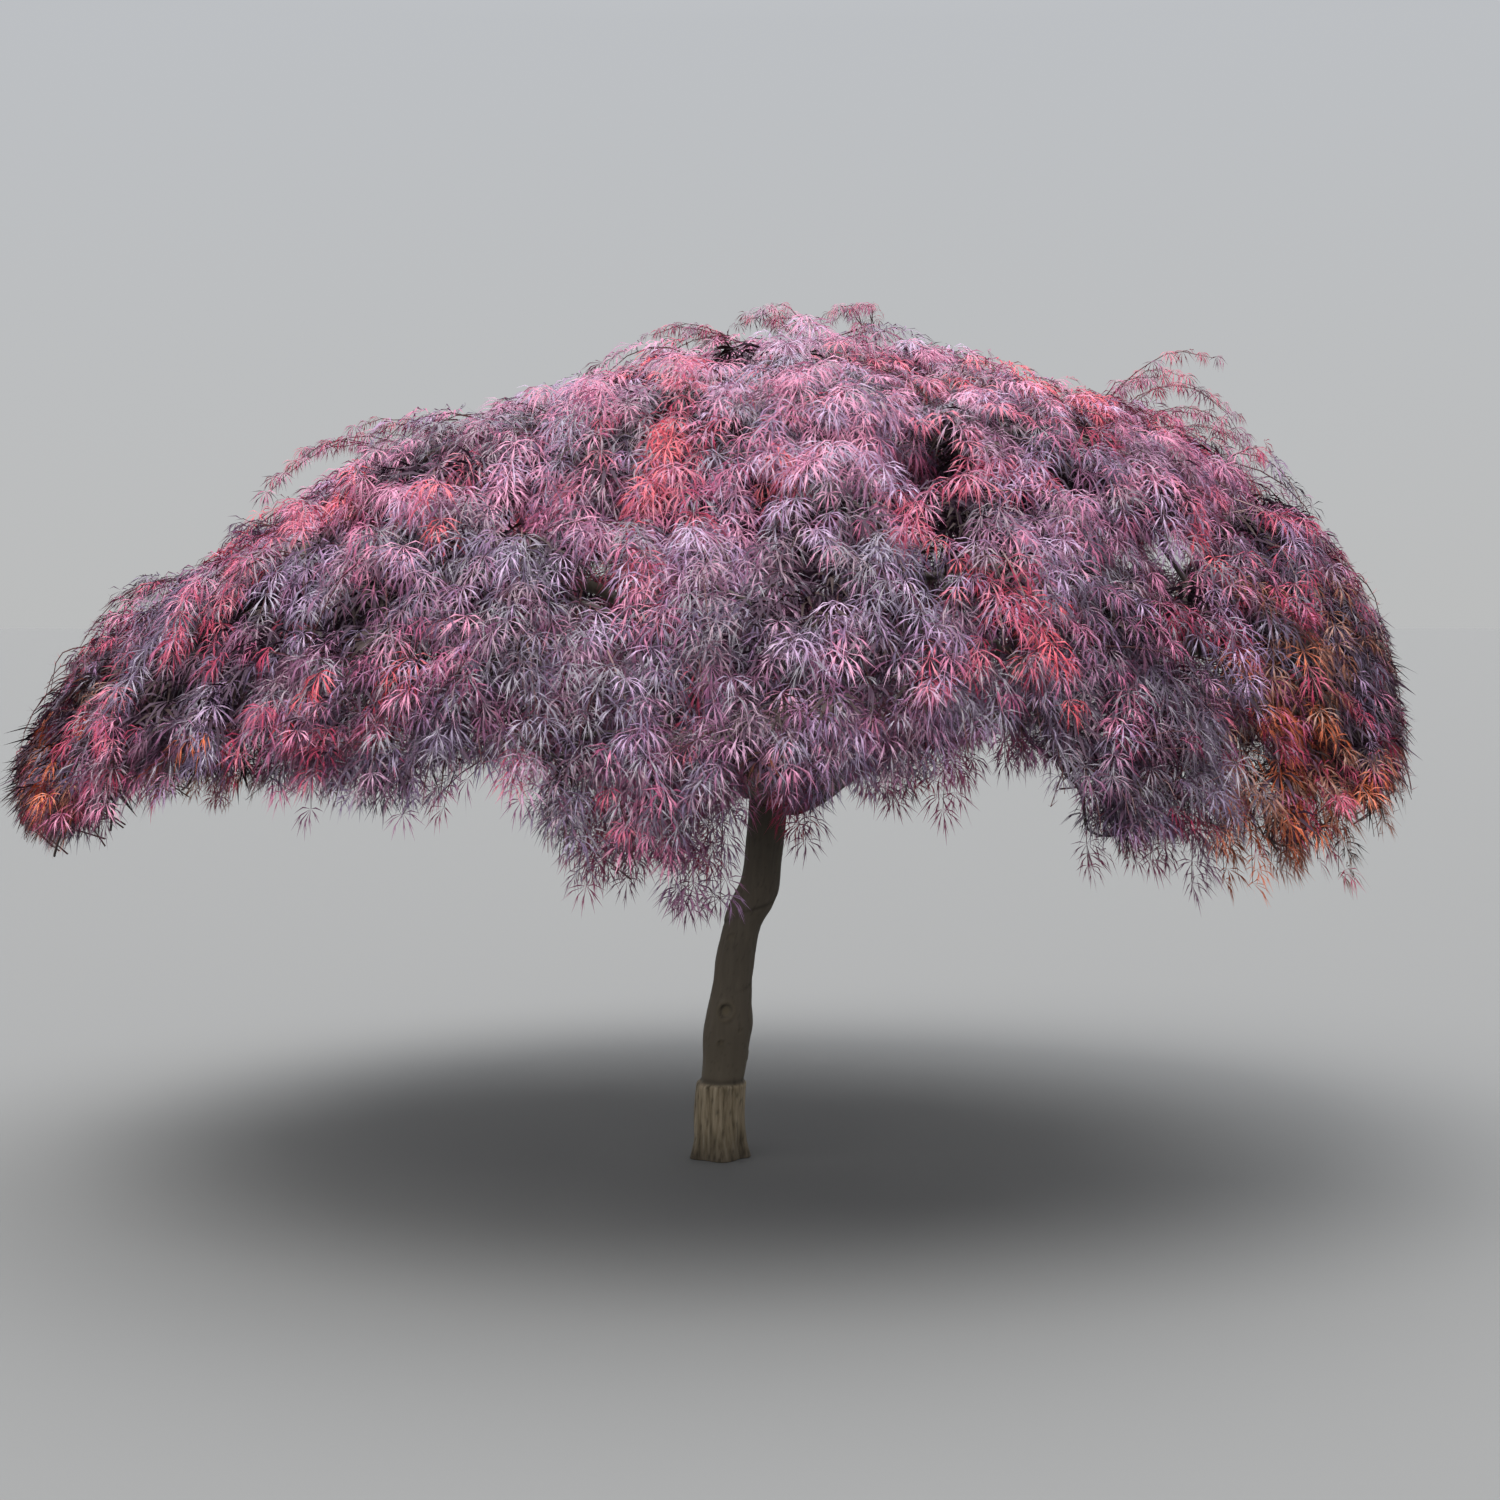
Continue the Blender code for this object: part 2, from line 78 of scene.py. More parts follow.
CROWN_CENTRE = np.array([0.158, 0.0, 1.15])
TIERS = 330  # drooping tiers of shoots over the crown
LEAF_LENGTH, BLADE, TOOTH = 0.098, 0.0018, 0.0056
REACH_OUT = 0.030  # how far a leaf may hang out of its mass
# Valleys between two masses, where tiers of shoots close the crown.
SEAMS = (
    (1.52, -0.41, 1.95), (1.31, 0.54, 1.78), (-0.33, 1.17, 1.80), (-0.19, 1.22, 1.62), (-1.23, -0.51, 1.79),
    (-1.38, 0.33, 1.60), (-1.43, 0.17, 1.60), (0.33, -1.25, 1.95), (0.36, 1.13, 1.78), (-0.83, 1.08, 1.74),
    (-0.16, 1.34, 1.54), (0.74, 1.10, 1.81), (-0.96, 0.82, 1.83), (0.04, -0.10, 2.36),
    (1.47, -0.26, 1.87), (1.40, -0.52, 1.95), (0.97, -1.12, 1.80), (-0.35, -1.15, 1.80), (0.33, 0.76, 2.19),
    (0.93, 1.24, 1.50), (1.38, 0.74, 1.83), (1.43, 0.98, 1.54), (-0.57, -0.27, 2.13), (-1.24, -0.54, 1.72),
    (-0.98, 1.26, 1.49), (-0.53, 1.57, 1.26), (-0.15, 1.50, 1.40))
# Low hanging sprays: where they hang, the height of their tips, number of shoots.
HANGING = (
    (-0.91, -1.30, 1.12, 4), (-0.40, -1.28, 1.13, 4), (-0.22, -1.35, 0.91, 7), (-0.15, -1.30, 1.01, 5),
    (-0.03, -1.40, 0.93, 7), (0.03, -1.00, 1.05, 6), (0.12, -0.90, 1.05, 7), (0.19, -0.92, 1.06, 6),
    (0.25, -1.00, 1.12, 4), (0.34, -1.30, 1.20, 4), (0.44, -1.25, 1.18, 4), (0.55, -1.30, 1.17, 4),
    (0.67, -1.25, 1.20, 4), (0.92, -1.10, 0.99, 6), (1.07, -1.10, 0.97, 6), (1.32, -0.90, 0.90, 8),
    (1.42, -0.90, 0.93, 6), (1.50, -0.80, 0.93, 7), (-1.95, -0.35, 0.94, 3), (-1.63, -0.60, 1.02, 4),
    (-1.00, -1.08, 1.13, 4))
# Places where the crown is dealt one colour: middle, radius, kind. The orange places stand for painted light shining
# through the leaves, the lilac ones for painted sheen of the sky, the dark ones for painted shade under the front rim,
# and the pale ones for new growth with painted sky light on the top.
FLUSHES = (
    (-0.21, -0.99, 2.13, 0.16, "red"), (-0.09, -1.05, 2.06, 0.18, "red"), (0.54, -0.61, 2.25, 0.22, "red"),
    (0.85, -0.98, 2.05, 0.16, "red"), (-0.88, -0.83, 1.86, 0.18, "red"), (-1.17, -1.03, 1.70, 0.20, "red"),
    (-1.50, -1.08, 1.40, 0.16, "red"), (0.16, -1.32, 1.87, 0.09, "red"), (0.49, -1.29, 1.80, 0.11, "red"),
    (0.88, -1.26, 1.78, 0.09, "red"), (1.17, -1.03, 1.69, 0.15, "red"), (1.20, -1.28, 1.36, 0.08, "red"),
    (1.42, -1.11, 1.28, 0.07, "red"), (-0.40, -1.60, 1.36, 0.09, "pink"), (-0.11, -1.64, 1.11, 0.14, "pink"),
    (0.25, -1.63, 1.30, 0.08, "pink"), (1.13, -1.36, 1.19, 0.08, "pink"), (-0.63, -1.22, 1.89, 0.12, "red"),
    (0.33, -1.24, 1.96, 0.11, "pink"), (0.71, -1.08, 1.97, 0.11, "pink"), (1.60, -0.86, 1.55, 0.11, "red"),
    (-1.64, -1.01, 1.25, 0.11, "orange"), (-1.21, -1.32, 1.20, 0.11, "orange"), (-0.69, -1.61, 1.25, 0.09, "orange"),
    (1.50, -0.98, 1.34, 0.15, "orange"), (1.62, -0.98, 1.22, 0.19, "orange"), (1.34, -1.12, 1.12, 0.19, "orange"),
    (1.78, -0.75, 1.25, 0.17, "orange"), (1.50, -0.90, 1.08, 0.16, "orange"), (-1.85, -0.60, 1.20, 0.13, "orange"),
    (0.95, -0.75, 2.12, 0.14, "pale"), (1.20, -0.65, 2.00, 0.15, "pale"), (0.72, -0.85, 2.12, 0.12, "pale"),
    (-1.05, -0.85, 1.92, 0.13, "pale"), (-0.72, -0.80, 2.02, 0.13, "pale"), (1.38, -0.45, 1.95, 0.13, "pale"),
    (-1.35, -0.75, 1.88, 0.14, "red"), (-1.02, -0.55, 2.00, 0.13, "red"), (1.22, -0.30, 2.10, 0.14, "pink"),
    (1.00, -0.55, 2.17, 0.12, "red"),
    (-0.03, -1.35, 1.74, 0.13, "lilac"), (0.21, -1.49, 1.67, 0.14, "lilac"), (-0.26, -1.31, 1.67, 0.14, "lilac"),
    (0.43, -1.55, 1.56, 0.14, "lilac"), (-0.47, -1.53, 1.56, 0.14, "lilac"), (0.11, -1.63, 1.45, 0.13, "lilac"),
    (0.38, -1.60, 1.36, 0.20, "dark"), (0.62, -1.50, 1.38, 0.18, "dark"), (0.10, -1.64, 1.30, 0.14, "dark"),
    (-0.13, -1.55, 1.47, 0.12, "lilac"), (0.69, -1.44, 1.65, 0.11, "lilac"), (-0.82, -1.48, 1.51, 0.14, "lilac"))
# Loose sprays that stand up off the crown: node, then shoots, each with its
# foot, the point that pulls it up and its tip as (x, y, z), and its leaves' size.
SPRAYS = (
    ("spray_right_shoulder", (
        ((1.02, -0.06, 2.08), (1.22, -0.07, 2.44), (1.40, -0.08, 2.30), 0.62),
        ((1.06, -0.02, 2.06), (1.32, -0.04, 2.46), (1.55, -0.06, 2.12), 0.66),
        ((1.08, -0.10, 2.05), (1.30, -0.12, 2.32), (1.47, -0.13, 2.13), 0.62),
        ((1.12, 0.02, 2.04), (1.42, 0.03, 2.30), (1.60, 0.03, 2.02), 0.60),
        ((1.03, -0.09, 2.10), (1.14, -0.12, 2.34), (1.26, -0.15, 2.28), 0.58))),
    ("spray_left_shoulder", (
        ((-0.78, -0.04, 2.04), (-1.06, -0.05, 2.24), (-1.30, -0.06, 1.98), 0.62),
        ((-0.84, 0.00, 2.02), (-1.10, -0.01, 2.18), (-1.22, -0.02, 2.06), 0.58),
        ((-0.70, -0.07, 2.08), (-0.90, -0.08, 2.22), (-1.06, -0.09, 2.12), 0.58))),
    ("spray_top_left", (
        ((0.16, 0.00, 2.34), (-0.06, -0.02, 2.50), (-0.17, -0.03, 2.41), 0.50),
        ((0.10, -0.04, 2.34), (-0.02, -0.05, 2.47), (-0.10, -0.06, 2.42), 0.46))),
    ("spray_top_middle", (
        ((0.24, 0.00, 2.34), (0.18, -0.02, 2.58), (0.05, -0.03, 2.45), 0.52),
        ((0.26, -0.04, 2.34), (0.24, -0.05, 2.53), (0.14, -0.06, 2.47), 0.46))),
    ("spray_top_right", (
        ((0.44, 0.02, 2.34), (0.40, 0.01, 2.60), (0.31, 0.00, 2.47), 0.48),
        ((0.46, -0.02, 2.34), (0.44, -0.03, 2.57), (0.40, -0.04, 2.49), 0.44))),
)


def unit(v):
    v = np.asarray(v, float)
    n = np.linalg.norm(v, axis=-1, keepdims=True)
    return v / np.maximum(n, 1e-9)


def step(a, b, x):
    t = np.clip((x - a) / (b - a), 0.0, 1.0)
    return t * t * (3.0 - 2.0 * t)


def lump(p, scale, seed=0.0):
    return noise.noise(Vector((p[0] / scale + seed, p[1] / scale - seed, p[2] / scale + 2 * seed)))


# ------------------------------------------------------------------ mesh tools
def mesh_object(name, verts, tris, smooth=False):
    verts = np.asarray(verts, np.float32)
    tris = np.asarray(tris, np.int32)
    me = bpy.data.meshes.new(name)
    me.vertices.add(len(verts))
    me.vertices.foreach_set("co", verts.ravel())
    me.loops.add(tris.size)
    me.loops.foreach_set("vertex_index", tris.ravel())
    me.polygons.add(len(tris))
    me.polygons.foreach_set("loop_start", np.arange(0, tris.size, 3, dtype=np.int32))
    me.polygons.foreach_set("use_smooth", np.full(len(tris), smooth))
    me.update(calc_edges=True)
    me.validate()
    ob = bpy.data.objects.new(name, me)
    bpy.context.scene.collection.objects.link(ob)
    return ob


class Pile:
    """Meshes gathered into one."""

    def __init__(self):
        self.v, self.f, self.n = [], [], 0

    def add(self, v, f):
        self.v.append(np.asarray(v, np.float32))
        self.f.append(np.asarray(f, np.int32) + self.n)
        self.n += len(v)

    def tris(self):
        return sum(len(f) for f in self.f)

    def build(self, name, smooth=False):
        return mesh_object(name, np.concatenate(self.v), np.concatenate(self.f), smooth)


def frames_along(line):
    """Tangent and two sides at each point of a line, without twist."""
    line = np.asarray(line, float)
    tan = unit(np.gradient(line, axis=0))
    side = np.zeros_like(line)
    ref = np.array([0.0, 0.0, 1.0]) if abs(tan[0, 2]) < 0.9 else np.array([0.0, 1.0, 0.0])
    s = unit(np.cross(tan[0], ref))
    for i, t in enumerate(tan):
        s = unit(s - t * np.dot(s, t))
        side[i] = s
    return tan, side, np.cross(tan, side)


def tube(line, radii, sides, cap=True):
    line = np.asarray(line, float)
    radii = np.asarray(radii, float)
    _, a, b = frames_along(line)
    ang = np.arange(sides) * 2 * math.pi / sides
    ring = a[:, None, :] * np.cos(ang)[None, :, None] + b[:, None, :] * np.sin(ang)[None, :, None]
    v = (line[:, None, :] + ring * radii[:, None, None]).reshape(-1, 3)
    i = np.arange(len(line) - 1)[:, None] * sides
    j = np.arange(sides)[None, :]
    k = (np.arange(sides)[None, :] + 1) % sides
    q = np.stack([i + j, i + k, i + sides + k, i + sides + j], -1).reshape(-1, 4)
    f = np.concatenate([q[:, [0, 1, 2]], q[:, [0, 2, 3]]])
    if cap:
        n = len(v)
        v = np.concatenate([v, line[:1], line[-1:] + (line[-1:] - line[-2:-1]) * 0.02])
        j = np.arange(sides)
        k = (j + 1) % sides
        top = (len(line) - 1) * sides
        f = np.concatenate([f, np.stack([k, j, np.full(sides, n)], -1),
                            np.stack([top + j, top + k, np.full(sides, n + 1)], -1)])
    return v, f


# ------------------------------------------------------------------- materials
def new_material(name):
    m = bpy.data.materials.new(name)
    m.use_nodes = True
    nt = m.node_tree
    return m, nt, nt.nodes["Principled BSDF"]


def leaf_material(name, rgb, rough, spec=0.5, sheen=0.0, tint=(1, 1, 1)):
    m, nt, p = new_material(name)
    p.inputs["Base Color"].default_value = (*rgb, 1.0)
    p.inputs["Roughness"].default_value = rough
    p.inputs["Specular IOR Level"].default_value = spec
    if sheen:
        p.inputs["Sheen Weight"].default_value = sheen
        p.inputs["Sheen Roughness"].default_value = 0.4
        p.inputs["Sheen Tint"].default_value = (*tint, 1.0)
    # Fine veins and pleats, as relief only.
    tc = nt.nodes.new("ShaderNodeTexCoord")
    no = nt.nodes.new("ShaderNodeTexNoise")
    no.inputs["Scale"].default_value = 420.0
    no.inputs["Detail"].default_value = 2.0
    bump = nt.nodes.new("ShaderNodeBump")
    bump.inputs["Strength"].default_value = 0.25
    bump.inputs["Distance"].default_value = 0.001
    nt.links.new(tc.outputs["Object"], no.inputs["Vector"])
    nt.links.new(no.outputs["Fac"], bump.inputs["Height"])
    nt.links.new(bump.outputs["Normal"], p.inputs["Normal"])
    return m


def ramp(nt, src, stops):
    r = nt.nodes.new("ShaderNodeValToRGB")
    el = r.color_ramp.elements
    while len(el) < len(stops):
        el.new(0.5)
    for e, (pos, col) in zip(el, stops):
        e.position = pos
        e.color = (*col, 1.0)
    nt.links.new(src, r.inputs["Fac"])
    return r.outputs["Color"]


def mix(nt, fac, a, b, mode="MIX"):
    m = nt.nodes.new("ShaderNodeMix")
    m.data_type = "RGBA"
    m.blend_type = mode
    if isinstance(fac, float):
        m.inputs["Factor"].default_value = fac
    else:
        nt.links.new(fac, m.inputs["Factor"])
    for sock, val in ((m.inputs[6], a), (m.inputs[7], b)):
        if isinstance(val, tuple):
            sock.default_value = (*val, 1.0)
        else:
            nt.links.new(val, sock)
    return m.outputs[2]


def bark_material(name, low_stock):
    """Grey-brown bark with upright streaks; the rootstock below is browner."""
    m, nt, p = new_material(name)
    tc = nt.nodes.new("ShaderNodeTexCoord")

    def tex(scale, stretch, detail=6.0, rough=0.6):
        mp = nt.nodes.new("ShaderNodeMapping")
        mp.inputs["Scale"].default_value = stretch
        nt.links.new(tc.outputs["Object"], mp.inputs["Vector"])
        no = nt.nodes.new("ShaderNodeTexNoise")
        no.inputs["Scale"].default_value = scale
        no.inputs["Detail"].default_value = detail
        no.inputs["Roughness"].default_value = rough
        nt.links.new(mp.outputs["Vector"], no.inputs["Vector"])
        return no.outputs["Fac"]

    streak = tex(60.0, (1, 1, 0.10))
    blotch = tex(7.0, (1, 1, 0.6), 4.0)
    fleck = tex(90.0, (1, 1, 0.5), 3.0)
    base = ramp(nt, streak, [(0.30, (0.027, 0.021, 0.015)), (0.50, (0.072, 0.057, 0.042)),
                             (0.72, (0.130, 0.107, 0.083))])
    grey = ramp(nt, blotch, [(0.35, (0.058, 0.047, 0.036)), (0.65, (0.108, 0.088, 0.070))])
    col = mix(nt, 0.45, base, grey)
    green = ramp(nt, blotch, [(0.52, (0, 0, 0)), (0.72, (1, 1, 1))])
    col = mix(nt, green, col, mix(nt, 0.30, col, (0.060, 0.056, 0.026)))
    pale = ramp(nt, fleck, [(0.66, (0, 0, 0)), (0.74, (1, 1, 1))])
    col = mix(nt, pale, col, mix(nt, 0.30, col, (0.16, 0.135, 0.105)))
    if low_stock:
        sep = nt.nodes.new("ShaderNodeSeparateXYZ")
        nt.links.new(tc.outputs["Object"], sep.inputs["Vector"])

        def band(lo, hi):
            mr = nt.nodes.new("ShaderNodeMapRange")
            mr.inputs["From Min"].default_value = lo
            mr.inputs["From Max"].default_value = hi
            nt.links.new(sep.outputs["Z"], mr.inputs["Value"])
            return mr.outputs["Result"]

        def attr(name):
            at = nt.nodes.new("ShaderNodeAttribute")
            at.attribute_name = name
            return at.outputs["Fac"]

        # Warmer just over the graft; darker up towards the crown, painted shade of the crown.
        col = mix(nt, 0.40, col, (0.165, 0.137, 0.104))
        col = mix(nt, band(0.60, 0.25), col, mix(nt, 0.45, col, (0.170, 0.139, 0.096)))
        col = mix(nt, band(0.72, 1.02), col, mix(nt, 0.62, col, (0.012, 0.009, 0.007)))
        stock = ramp(nt, streak, [(0.28, (0.070, 0.052, 0.030)), (0.48, (0.270, 0.212, 0.134)),
                                  (0.70, (0.460, 0.382, 0.272))])
        col = mix(nt, band(GRAFT_Z + 0.005, GRAFT_Z - 0.004), col, stock)
        col = mix(nt, band(0.11, 0.0), col, mix(nt, 0.70, col, (0.022, 0.016, 0.012)))
        # Darker along the fissures, grooves and scar rings: the bark's own dark with painted shade in these recesses.
        col = mix(nt, attr("crack"), col, mix(nt, 0.80, col, (0.010, 0.007, 0.004)))
        col = mix(nt, attr("scar"), col, mix(nt, 0.60, col, (0.150, 0.118, 0.066)))
    nt.links.new(col, p.inputs["Base Color"])
    rough = nt.nodes.new("ShaderNodeMapRange")
    rough.inputs["To Min"].default_value = 0.62
    rough.inputs["To Max"].default_value = 0.92
    nt.links.new(streak, rough.inputs["Value"])
    nt.links.new(rough.outputs["Result"], p.inputs["Roughness"])
    p.inputs["Specular IOR Level"].default_value = 0.3
    bump = nt.nodes.new("ShaderNodeBump")
    bump.inputs["Strength"].default_value = 0.7
    bump.inputs["Distance"].default_value = 0.003
    nt.links.new(streak, bump.inputs["Height"])
    nt.links.new(bump.outputs["Normal"], p.inputs["Normal"])
    return m


# ----------------------------------------------------------------------- trunk
def catmull(pts, per):
    pts = np.asarray(pts, float)
    ext = np.concatenate([pts[:1], pts, pts[-1:]])
    out = []
    for k in range(1, len(ext) - 2):
        p0, p1, p2, p3 = ext[k - 1], ext[k], ext[k + 1], ext[k + 2]
        for j in range(per):
            t = j / per
            out.append(0.5 * (2 * p1 + (p2 - p0) * t + (2 * p0 - 5 * p1 + 4 * p2 - p3) * t * t
                              + (3 * p1 - p0 - 3 * p2 + p3) * t ** 3))
    out.append(ext[-2])
    return np.array(out)


def fbm(p, octaves=3):
    return noise.fractal(Vector(p), 1.0, 2.1, octaves)


# Scars of lost branches: height, degrees round, radius, depth.
SCARS = ((0.444, -99.6, 0.023, 1.0), (0.349, -102.7, 0.011, 0.7), (0.385, -58, 0.009, 0.5),
         (0.66, -120, 0.012, 0.4), (0.56, 80, 0.020, 0.8), (0.82, 140, 0.017, 0.7),
         (0.30, 10, 0.011, 0.5), (0.93, 30, 0.016, 0.6))


def trunk_piece():
    """The trunk with its ribs, graft ledge, scars and streaked bark in relief."""
    rows = np.array([[x, y, z, 0.5 * d] for z, x, y, d in TRUNK])
    fine = catmull(rows, 11)
    # Linear widths near the graft keep its ledge crisp.
    fine[:, 3] = 0.6 * np.interp(fine[:, 2], rows[:, 2], rows[:, 3]) + 0.4 * fine[:, 3]
    top = fine[-1].copy()
    extra = [top + np.array([0.004 * k, 0, 0.012 * k, -0.0024 * k * k]) for k in range(1, 5)]
    fine = np.concatenate([fine, extra])
    fine[:, 3] = np.maximum(fine[:, 3], 0.012)
    sides = 80
    ang = np.arange(sides) * 2 * math.pi / sides
    verts, dark, tan = [], [], []
    for x, y, z, r in fine:
        for a in ang:
            ca, sa = math.cos(a), math.sin(a)
            # ink: how dark the bark is drawn, the fissures' own dark with painted shade in the fissures, the graft's
            # groove, the wrinkles round the bends and the scars' sunk rings.
            d, ink, pale = 0.0, 0.0, 0.0
            if z < 0.10:
                k = 1.0 - step(0.0, 0.10, z)
                d += 0.10 * r * k * math.cos(5 * a + 0.7)
            # Broad lumps, flutes and fine upright fissures.
            d += 0.0034 * fbm((2.2 * ca, 2.2 * sa, z * 7.0), 3)
            if z < GRAFT_Z:
                f = fbm((9 * ca + 3, 9 * sa, z * 3.5), 3)
                crack = math.exp(-(f / 0.055) ** 2)
                d += 0.0010 * f - 0.0022 * crack
                ink += 0.75 * crack
                d += 0.0022 * step(GRAFT_Z - 0.030, GRAFT_Z - 0.008, z) * (0.4 - 0.6 * ca)
            else:
                d += 0.0014 * fbm((5.5 * ca + 9, 5.5 * sa, z * 2.6), 2)
                f = fbm((13 * ca, 13 * sa + 5, z * 6.0), 3)
                crack = math.exp(-(f / 0.035) ** 2)
                d += 0.0006 * f - 0.0006 * crack
                ink += 0.30 * crack
                ledge = math.exp(-((z - GRAFT_Z - 0.008) / 0.007) ** 2)
                d -= 0.0018 * ledge
                ink += 0.5 * ledge
            # Rings and wrinkles round the bends, sunk in and darkened with painted shade.
            for bend, deg, wide in ((0.752, -60, 0.9), (0.700, 190, 0.8), (0.52, -20, 0.7)):
                da = (a - math.radians(deg) + math.pi) % (2 * math.pi) - math.pi
                k = math.exp(-(da / wide) ** 2) * math.exp(-((z - bend - 0.02 * da) / 0.006) ** 2)
                d -= 0.0022 * k
                ink += 0.6 * k
            for sz, sdeg, sr, depth in SCARS:
                da = (a - math.radians(sdeg) + math.pi) % (2 * math.pi) - math.pi
                q = math.hypot(da * r * 1.1, z - sz) / sr
                if q < 2.4:
                    d += depth * (0.0048 * math.exp(-((q - 1.15) / 0.30) ** 2)
                                  - 0.0030 * math.exp(-(q / 0.80) ** 2))
                    ring = math.exp(-((q - 0.82) / 0.16) ** 2) * (0.55 + 0.45 * math.cos(math.atan2(z - sz, da * r) - 2.6))
                    ink += depth * 1.0 * ring
                    pale += depth * (0.9 * math.exp(-(q / 0.62) ** 4) + 0.45 * math.exp(-((q - 1.2) / 0.22) ** 2))
            verts.append((x + (r + d) * ca, y + (r + d) * sa, max(0.0, z)))
            dark.append(min(1.0, ink))
            tan.append(min(1.0, pale))
    n = len(fine)
    i = np.arange(n - 1)[:, None] * sides
    j = np.arange(sides)[None, :]
    k = (j + 1) % sides
    q = np.stack([i + j, i + k, i + sides + k, i + sides + j], -1).reshape(-1, 4)
    f = np.concatenate([q[:, [0, 1, 2]], q[:, [0, 2, 3]]])
    c0, c1 = len(verts), len(verts) + 1
    verts.append((0.0, 0.0, 0.0))
    verts.append((fine[-1][0], fine[-1][1], fine[-1][2] + 0.004))
    j = np.arange(sides)
    k = (j + 1) % sides
    t = (n - 1) * sides
    f = np.concatenate([f, np.stack([k, j, np.full(sides, c0)], -1),
                        np.stack([t + j, t + k, np.full(sides, c1)], -1)])
    ob = mesh_object("trunk_bark", verts, f, smooth=True)
    for name, vals in (("crack", dark + [0, 0]), ("scar", tan + [0, 0])):
        ob.data.attributes.new(name, "FLOAT", "POINT").data.foreach_set("value", np.array(vals, np.float32))
    return ob


# ---------------------------------------------------------------------- boughs
def world_mesh(ob):
    me = ob.data
    v = np.empty(len(me.vertices) * 3, np.float32)
    me.vertices.foreach_get("co", v)
    v = v.reshape(-1, 3).astype(float)
    mw = np.array(ob.matrix_world)
    v = v @ mw[:3, :3].T + mw[:3, 3]
    me.calc_loop_triangles()
    t = np.empty(len(me.loop_triangles) * 3, np.int32)
    me.loop_triangles.foreach_get("vertices", t)
    return v, t.reshape(-1, 3)


def bough_core(name):
    """Middle line and radius of a bough: its cuts by spheres about the fork."""
    v, t = world_mesh(NODES[name])
    d = np.linalg.norm(v - FORK, axis=1)
    e = np.concatenate([t[:, [0, 1]], t[:, [1, 2]], t[:, [2, 0]]])
    lo, hi = d.min(), d.max()
    line, rad = [], []
    for q in np.arange(lo + 0.055, hi - 0.006, 0.035):
        a, b = d[e[:, 0]], d[e[:, 1]]
        cut = (a < q) & (b >= q)
        if cut.sum() < 5:
            continue
        w = ((q - a[cut]) / (b[cut] - a[cut]))[:, None]
        p = v[e[cut, 0]] * (1 - w) + v[e[cut, 1]] * w
        c = 0.5 * (p.max(0) + p.min(0))
        line.append(c)
        rad.append(np.linalg.norm(p - c, axis=1).mean())
    return np.array(line), np.array(rad)


BOUGHS = sorted(n for n in NODES if n.startswith("bough_"))
CARRIER = {"bough_front_left": "bough_left", "bough_front_right": "bough_front",
           "bough_back_right": "bough_back", "bough_back_left": "bough_back"}
cores = {n: bough_core(n) for n in BOUGHS}


def bough_piece(name, seed):
    line, rad = cores[name]
    # Carried back into the limb it grows from, with a swollen collar.
    if name in CARRIER:
        other = cores[CARRIER[name]][0]
        root = other[np.argmin(np.linalg.norm(other - line[0], axis=1))]
    else:
        root = FORK + np.array([0.0, 0.0, -0.05]) + 0.3 * (line[0] - FORK) * np.array([1, 1, 0])
    back = [root + (line[0] - root) * t for t in (0.0, 0.4, 0.75)]
    line = np.concatenate([back, line])
    rad = np.concatenate([[rad[0] * 0.70, rad[0] * 1.10, rad[0] * 1.16], rad])
    both = catmull(np.concatenate([line, rad[:, None]], 1), 3)
    line, rad = both[:, :3], both[:, 3]
    sides = 16
    _, a, b = frames_along(line)
    verts = []
    run = 0.0
    for i, (p, r) in enumerate(zip(line, rad)):
        run += 0.0 if i == 0 else float(np.linalg.norm(p - line[i - 1]))
        for k in range(sides):
            an = k * 2 * math.pi / sides
            ca, sa = math.cos(an), math.sin(an)
            d = 0.09 * r * fbm((1.6 * ca + seed, 1.6 * sa, run * 9.0), 3)
            d += 0.0010 * fbm((7 * ca, 7 * sa + seed, run * 16.0), 2)
            for ring in (0.21, 0.47, 0.78):
                d += 0.0016 * math.exp(-((run - ring) / 0.006) ** 2)
            verts.append(p + (a[i] * ca + b[i] * sa) * (r + d))
    n = len(line)
    i = np.arange(n - 1)[:, None] * sides
    j = np.arange(sides)[None, :]
    k = (j + 1) % sides
    q = np.stack([i + j, i + k, i + sides + k, i + sides + j], -1).reshape(-1, 4)
    f = np.concatenate([q[:, [0, 1, 2]], q[:, [0, 2, 3]]])
    c0 = len(verts)
    verts += [line[0], line[-1]]
    j = np.arange(sides)
    k = (j + 1) % sides
    t = (n - 1) * sides
    f = np.concatenate([f, np.stack([k, j, np.full(sides, c0)], -1),
                        np.stack([t + j, t + k, np.full(sides, c0 + 1)], -1)])
    return mesh_object(name + "_bark", verts, f, smooth=True)


trunk = trunk_piece()
trunk.data.materials.append(bark_material("bark_trunk", True))
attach(trunk, "root")
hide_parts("trunk")
bough_bark = bark_material("bark_bough", False)
for i, n in enumerate(BOUGHS):
    ob = bough_piece(n, 3.7 * i)
    ob.data.materials.append(bough_bark)
    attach(ob, "root")
    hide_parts(n)

# ----------------------------------------------------- where the foliage stands
MASSES = sorted(n for n in NODES if n.startswith("foliage_"))
mv, mt, k = [], [], 0
for n in MASSES:
    v, t = world_mesh(NODES[n])
    mv.append(v)
    mt.append(t + k)
    k += len(v)
mv, mt = np.concatenate(mv), np.concatenate(mt)
skin = BVHTree.FromPolygons([Vector(p) for p in mv], [tuple(int(i) for i in t) for t in mt])


